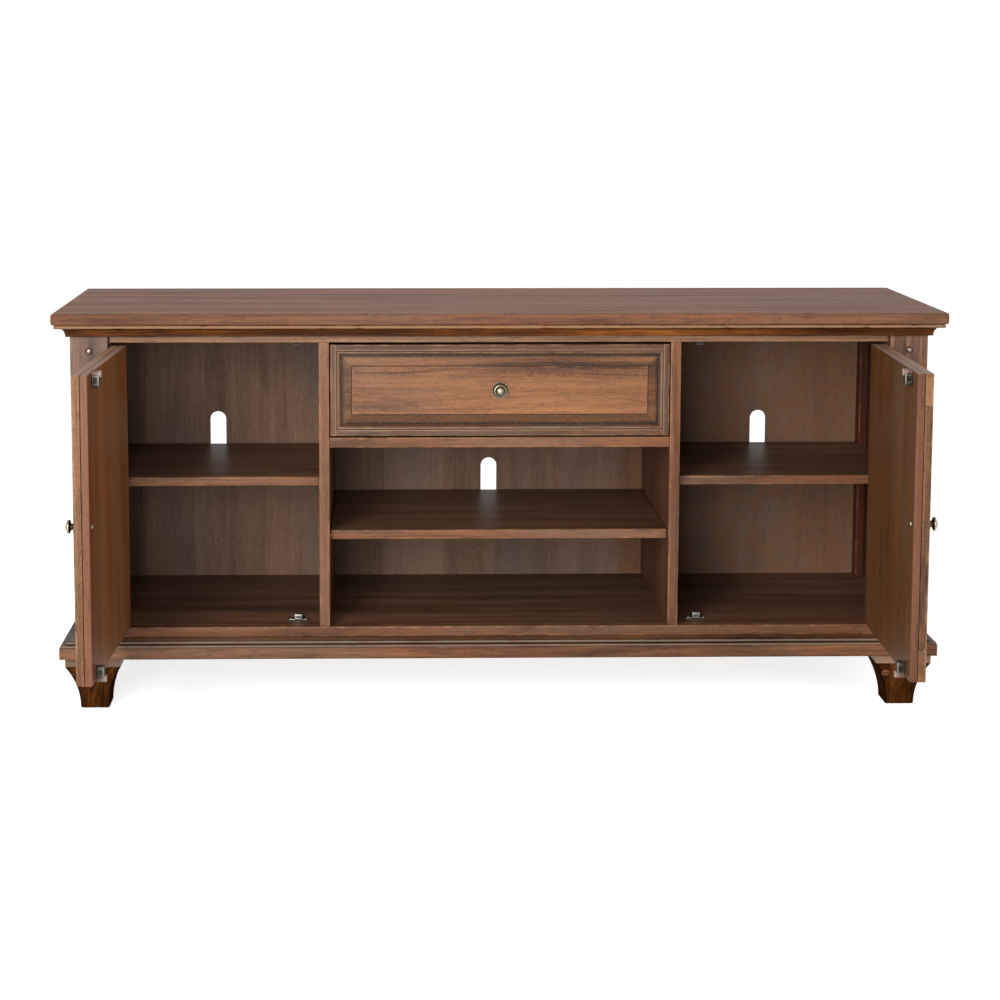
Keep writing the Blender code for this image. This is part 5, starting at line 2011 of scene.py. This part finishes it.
        # Levels on the bevel are painted darker at the bottom, less at the sides and hardly at the top.
        side, foot, head = (grime + share * darkening for share in (0.30, 0.45, 0.05))
        left, right = low.x + inset, high.x - inset
        lower, upper = low.z + inset, high.z - inset
        verts = []
        for x, z, along_x, along_z, end_darkness in (
            (left, lower, 1, 1, foot), (right, lower, -1, 1, foot), (right, upper, -1, -1, head),
            (left, upper, 1, -1, head),
        ):
            corner = [
                (x, z + along_z * self.beside, wear, side), (x, z, max(wear, self.corner_wear), side),
                (x + along_x * self.beside, z, wear, end_darkness),
            ]
            for across, up, worn, darkness in corner[::along_x * along_z]:
                vert = shape.verts.new((across, front + depth, up))
                mark(shape, [vert], worn, darkness)
                verts.append(vert)
        return verts


@dataclass
class Drawer:
    """The drawer: a raised-panel front on a plain box."""

    band: float = 0.0124
    front_thickness: float = 0.020
    box_ease: float = 0.0008
    panel: Panelled = field(default_factory=Panelled)

    def build(self) -> None:
        """Builds the front, the box and the knob."""
        low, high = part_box("drawer_front")
        frame_piece = Piece("drawer_front_frame", Body.DRAWER, Slot.FACE)
        self.panel.add_frame(frame_piece, low, high, self.band, self.front_thickness, rails_through=False)
        frame_piece.put(BAND_WOOD, "drawer_front")
        edge = self.band + self.panel.joint + self.panel.sticking_width
        panel_piece = Piece("drawer_front_panel", Body.DRAWER, Slot.FACE)
        self.panel.add_panel(panel_piece, low, high, edge, self.front_thickness, Run.LEVEL_UPRIGHT)
        panel_piece.put(DRAWER_WOOD)
        runs = {
            "side_left": Run.DEEP, "side_right": Run.DEEP, "back": Run.LEVEL_UPRIGHT, "bottom": Run.LEVEL,
        }
        for part, run in runs.items():
            board = Board(f"drawer_{part}", run, DRAWER_BOX_WOOD, Slot.DRAWER_BOX, self.box_ease)
            board.build(Body.DRAWER)
        Knob("drawer_knob", Body.DRAWER, Matrix()).build()


@dataclass
class Door:
    """A side door: a framed raised panel on a flat backing board, with its knob, strikes and hinges."""

    side: Side
    stile: float = 0.058
    lipping: float = 0.0030
    strike_radius: float = 0.0070
    strike_length: float = 0.027
    strike_thickness: float = 0.0145
    strike_round: float = 0.0022
    strike_screws: Flat = (0.30, 0.78)
    strike_screw_radius: float = 0.0024
    strike_screw_shift: float = 0.0025
    nose_radius: float = 0.0064
    knob_screw_radius: float = 0.0036
    # How far below its top a door is painted pale: a painted sheen on its lit top end.
    rubbed_top: float = 0.0005
    panel: Panelled = field(default_factory=Panelled)

    @property
    def body(self) -> Body:
        """The body that the door's pieces ride on."""
        return Body(f"{self.side.word}_door")

    @property
    def placement(self) -> Matrix:
        """The closed door's frame about its pivot, turned open as the photo shows it."""
        joint = next(j for j in frame["joints"] if j["child"] == self.body.value)
        opening = math.radians(-joint["range_deg"][0])
        pivot = Vector((joint["pos_m"][0], joint["pos_m"][1], 0.0))
        return Matrix.Translation(pivot) @ Matrix.Rotation(self.side.value * opening, 4, "Z")

    def build(self) -> None:
        """Builds all pieces of the door."""
        stem = f"door_{self.side.word}"
        placement = self.placement
        low, high = limits(f"{stem}_frame", placement)
        thickness = high.y - low.y
        face = Piece(f"{stem}_frame_piece", self.body, Slot.FACE, placement=placement)
        rails_through = self.side is Side.RIGHT
        self.panel.add_frame(face, low, high, self.stile, thickness, rails_through)
        # The top end is painted pale through the wear mask: a painted sheen where light falls on it.
        face.rub_above(high.z - self.rubbed_top).put(DOOR_WOOD, f"{stem}_frame")
        panel = Piece(f"{stem}_panel_piece", self.body, Slot.FACE, placement=placement)
        edge = self.stile + self.panel.joint + self.panel.sticking_width + SEAM
        self.panel.add_panel(panel, low, high, edge, thickness, Run.UPRIGHT)
        panel.put(DRAWER_WOOD, f"{stem}_panel")
        back_low, back_high = limits(f"{stem}_backing", placement)
        self.build_backing(stem, back_low, back_high)
        Knob(f"{stem}_knob", self.body, placement).build()
        self.build_knob_screw(stem, back_high.y)
        for end in ("bottom", "top"):
            self.build_strike(f"{stem}_strike_{end}")
            Hinge(self.side, end, self.body, placement).build()

    def build_backing(self, stem: str, low: Vector, high: Vector) -> None:
        """Builds the backing board and the lipping of solid wood on its free edge.

        Args:
            stem: The door's name in node names.
            low: The backing's lowest corner.
            high: Its highest corner.
        """
        hinged, free = sorted((low.x, high.x), key=abs)
        way = math.copysign(1.0, free - hinged)
        joint = free - way * self.lipping
        # The right door's backing takes the darker copy: painted shade.
        finish = DOOR_BACK_LEFT if self.side is Side.LEFT else SHADED_DOOR_BACK_RIGHT
        for name, slot, wood, nodes, ends in (
            ("piece", Slot.DOOR_BACK, finish, (f"{stem}_backing",), (hinged, joint - way * LIPPING_GAP)),
            ("lipping", Slot.FACE, DOOR_EDGE_WOOD, (), (joint, free)),
        ):
            near, far = sorted(ends)
            shape = block((near, low.y, low.z), (far, high.y, high.z), ease=0.0010)
            mark(shape, shape.verts, wear=0.0)
            piece = Piece(f"{stem}_backing_{name}", self.body, slot, Run.UPRIGHT, self.placement)
            # The top end is painted pale through the wear mask: a painted sheen where light falls on it.
            piece.add(soil(shape, 1, low.y)).rub_above(high.z - self.rubbed_top).put(wood, *nodes)

    def build_knob_screw(self, stem: str, inner: float) -> None:
        """Builds the head of the screw that holds the knob, on the door's inner face.

        Args:
            stem: The door's name in node names.
            inner: The Y of the inner face.
        """
        low, high = limits(f"{stem}_knob", self.placement)
        middle = (low + high) / 2
        screw = Piece(f"{stem}_knob_screw", self.body, Slot.CATCH, placement=self.placement)
        place = (middle.x, inner, middle.z)
        screw.add(screw_head(self.knob_screw_radius, height=0.0012), placement=aim(place, TO_BACK))
        screw.put(SCREW_STEEL)

    def build_strike(self, node: str) -> None:
        """Builds a strike: an oval housing with two screws, and a round nose that points at the catch.

        Args:
            node: The strike's node.
        """
        low, high = limits(node, self.placement)
        sense = 1 if "bottom" in node else -1
        middle_x = (low.x + high.x) / 2
        seat = low.y
        radius = self.strike_radius
        far = high.z if sense > 0 else low.z
        near = (low.z if sense > 0 else high.z) + sense * self.nose_radius
        plate_far = far - sense * radius
        plate_near = far - sense * (self.strike_length - radius)
        centres = ((middle_x, max(plate_far, plate_near)), (middle_x, min(plate_far, plate_near)))
        outline = oblong(centres, radius, 0, 12)
        thick = self.strike_thickness
        strike = Piece(f"{node}_piece", self.body, Slot.STRIKE, placement=self.placement)

        def place(x: float, z: float, deep: float) -> Point:
            """Turns across, height and depth over the seat into a point in space."""
            return x, seat + deep, z

        strike.add(plate(outline, thick, place, self.strike_round, line=0.0010, segments=4))
        for share in self.strike_screws:
            level = near + (far - near) * share + self.strike_screw_shift * sense
            head = screw_head(self.strike_screw_radius, height=0.0006)
            strike.add(head, placement=aim((middle_x, seat + thick, level), TO_BACK))
        strike.put(STRIKE_STEEL, node)
        nose = Piece(f"{node}_nose", self.body, Slot.STRIKE, placement=self.placement)
        profile = self.nose_profile(high.y - seat)
        nose.add(turned(profile, sides=28), placement=aim((middle_x, seat, near), TO_BACK))
        nose.put(STRIKE_NOSE)

    def nose_profile(self, length: float) -> list[Turned]:
        """The turned outline of a strike's nose: a neck behind a rounded head with a hollow tip.

        Args:
            length: How far the nose stands out from the door.

        Returns:
            The outline's points.
        """
        rad = self.nose_radius
        thick = self.strike_thickness
        root = 0.0004
        hollow = length - 0.0012
        proud = [
            (1.00, 0.15, 0.2, 0.2), (0.98, 0.28, 0.6, 0.0), (0.84, 0.36, 0.0, 1.0), (0.84, 0.48, 0.0, 1.0),
            (0.98, 0.56, 0.8, 0.0), (1.00, 0.72, 1.0, 0.0), (0.94, 0.90, 1.0, 0.0),
        ]
        points = [(0.0, root, 0.0, 0.5), (rad, root, 0.0, 0.8)]
        for width, share, wear, grime in proud:
            points.append((width * rad, thick + share * (length - thick), wear, grime))
        points += [
            (0.80 * rad, length, 1.0, 0.0), (0.55 * rad, length - 0.0003, 0.4, 0.3),
            (0.50 * rad, hollow, 0.0, 0.9), (0.0, hollow, 0.0, 0.6),
        ]
        return points


@dataclass(frozen=True)
class Lamp:
    """A soft square studio lamp."""

    name: str
    place: Point
    aim_at: Point
    size: float
    power: float

    def build(self) -> None:
        """Hangs the lamp and turns it towards what it lights."""
        light = bpy.data.lights.new(self.name, "AREA")
        light.shape = "SQUARE"
        light.size = self.size
        light.energy = self.power
        lamp = bpy.data.objects.new(self.name, light)
        lamp.location = self.place
        way = Vector(self.aim_at) - Vector(self.place)
        lamp.rotation_euler = way.to_track_quat("-Z", "Y").to_euler()
        bpy.context.scene.collection.objects.link(lamp)


@dataclass
class Studio:
    """The pale floor, the soft lamps and the camera at the photo's angle."""

    focal_pixels: float = 2013.52
    axis_pixel: Flat = (424.27, 300.0)
    frame_pixels: float = 1000.0
    sensor: float = 36.0
    before_slab: Point = (-0.2239, -3.8290, 1.2311)
    yaw: float = 1.1248
    pitch: float = 6.2355
    roll: float = 0.0463
    sky: float = 0.36
    floor_glow: float = 0.72
    floor_half: float = 60.0

    def build(self) -> None:
        """Builds the floor, the sky, the lamps and the camera."""
        self.build_floor()
        self.build_sky()
        for lamp in (
            Lamp("key_lamp", (-2.2, -4.0, 2.8), (0.0, 0.0, 0.45), 1.5, 115.0),
            Lamp("front_lamp", (-1.15, -4.2, 1.15), (0.0, 0.0, 0.40), 1.8, 145.0),
            Lamp("fill_lamp", (3.0, -3.4, 1.8), (0.0, 0.0, 0.40), 2.0, 45.0),
        ):
            lamp.build()
        self.build_camera()

    def build_floor(self) -> None:
        """Lays a wide pale floor that keeps the object's shadow and is otherwise white to the camera."""
        half = self.floor_half
        shape = bmesh.new()
        corners = ((-half, -half), (half, -half), (half, half), (-half, half))
        shape.faces.new([shape.verts.new((x, y, 0.0)) for x, y in corners])
        mesh = bpy.data.meshes.new("floor")
        shape.to_mesh(mesh)
        shape.free()
        made = bpy.data.materials.new("pale_floor")
        made.use_nodes = True
        tree = Tree(made.node_tree)
        shader = made.node_tree.nodes["Principled BSDF"]
        shader.inputs["Base Color"].default_value = (0.86, 0.86, 0.86, 1.0)
        shader.inputs["Roughness"].default_value = 0.9
        shader.inputs["Specular IOR Level"].default_value = 0.0
        path = tree.add("ShaderNodeLightPath")
        glow = tree.times(self.seen_straight(tree, path), self.floor_glow)
        shader.inputs["Emission Color"].default_value = (1.0, 1.0, 1.0, 1.0)
        tree.feed(shader.inputs["Emission Strength"], glow)
        mesh.materials.append(made)
        floor = bpy.data.objects.new("floor", mesh)
        bpy.context.scene.collection.objects.link(floor)

    def seen_straight(self, tree: Tree, path: bpy.types.Node) -> Socket:
        """1 where a surface is seen by the camera, in a reflection or through glass."""
        seen = tree.math("MAXIMUM", path.outputs["Is Camera Ray"], path.outputs["Is Glossy Ray"])
        return tree.math("MAXIMUM", seen, path.outputs["Is Transmission Ray"])

    def build_sky(self) -> None:
        """Makes an even white surround, whiter to the eye than as a light."""
        world = bpy.data.worlds.new("studio")
        bpy.context.scene.world = world
        world.use_nodes = True
        tree = Tree(world.node_tree)
        backdrop = world.node_tree.nodes["Background"]
        backdrop.inputs["Color"].default_value = (1.0, 1.0, 1.0, 1.0)
        seen = self.seen_straight(tree, tree.add("ShaderNodeLightPath"))
        tree.feed(backdrop.inputs["Strength"], tree.between(seen, 0.0, 1.0, self.sky, 1.0))

    def build_camera(self) -> None:
        """Sets the camera up as the photo was taken."""
        camera = bpy.data.cameras.new("camera")
        camera.sensor_width = self.sensor
        camera.lens = self.focal_pixels / self.frame_pixels * self.sensor
        camera.shift_x = 0.5 - self.axis_pixel[0] / self.frame_pixels
        camera.shift_y = self.axis_pixel[1] / self.frame_pixels - 0.5
        item = bpy.data.objects.new("camera", camera)
        turn = Matrix.Rotation(math.radians(-self.yaw), 4, "Z")
        turn = turn @ Matrix.Rotation(math.radians(90.0 - self.pitch), 4, "X")
        turn = turn @ Matrix.Rotation(math.radians(self.roll), 4, "Z")
        place = Vector(self.before_slab) + Vector((0.0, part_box("top_slab")[0].y, 0.0))
        item.matrix_world = Matrix.Translation(place) @ turn
        bpy.context.scene.collection.objects.link(item)
        bpy.context.scene.camera = item


def main() -> None:
    """Builds the sub-assemblies in order, then the studio."""
    logging.basicConfig(level=logging.INFO, format="%(name)s: %(message)s")
    Top().build()
    Base().build()
    Feet().build()
    Case().build()
    BackPanel().build()
    for side in Side:
        Stud(side).build()
        for end in ("bottom", "top"):
            Catch(f"catch_{side.word}_{end}").build()
    Drawer().build()
    for side in Side:
        Door(side).build()
    Studio().build()
    bpy.context.scene.view_settings.view_transform = "Standard"


if __name__ == "__main__":
    main()
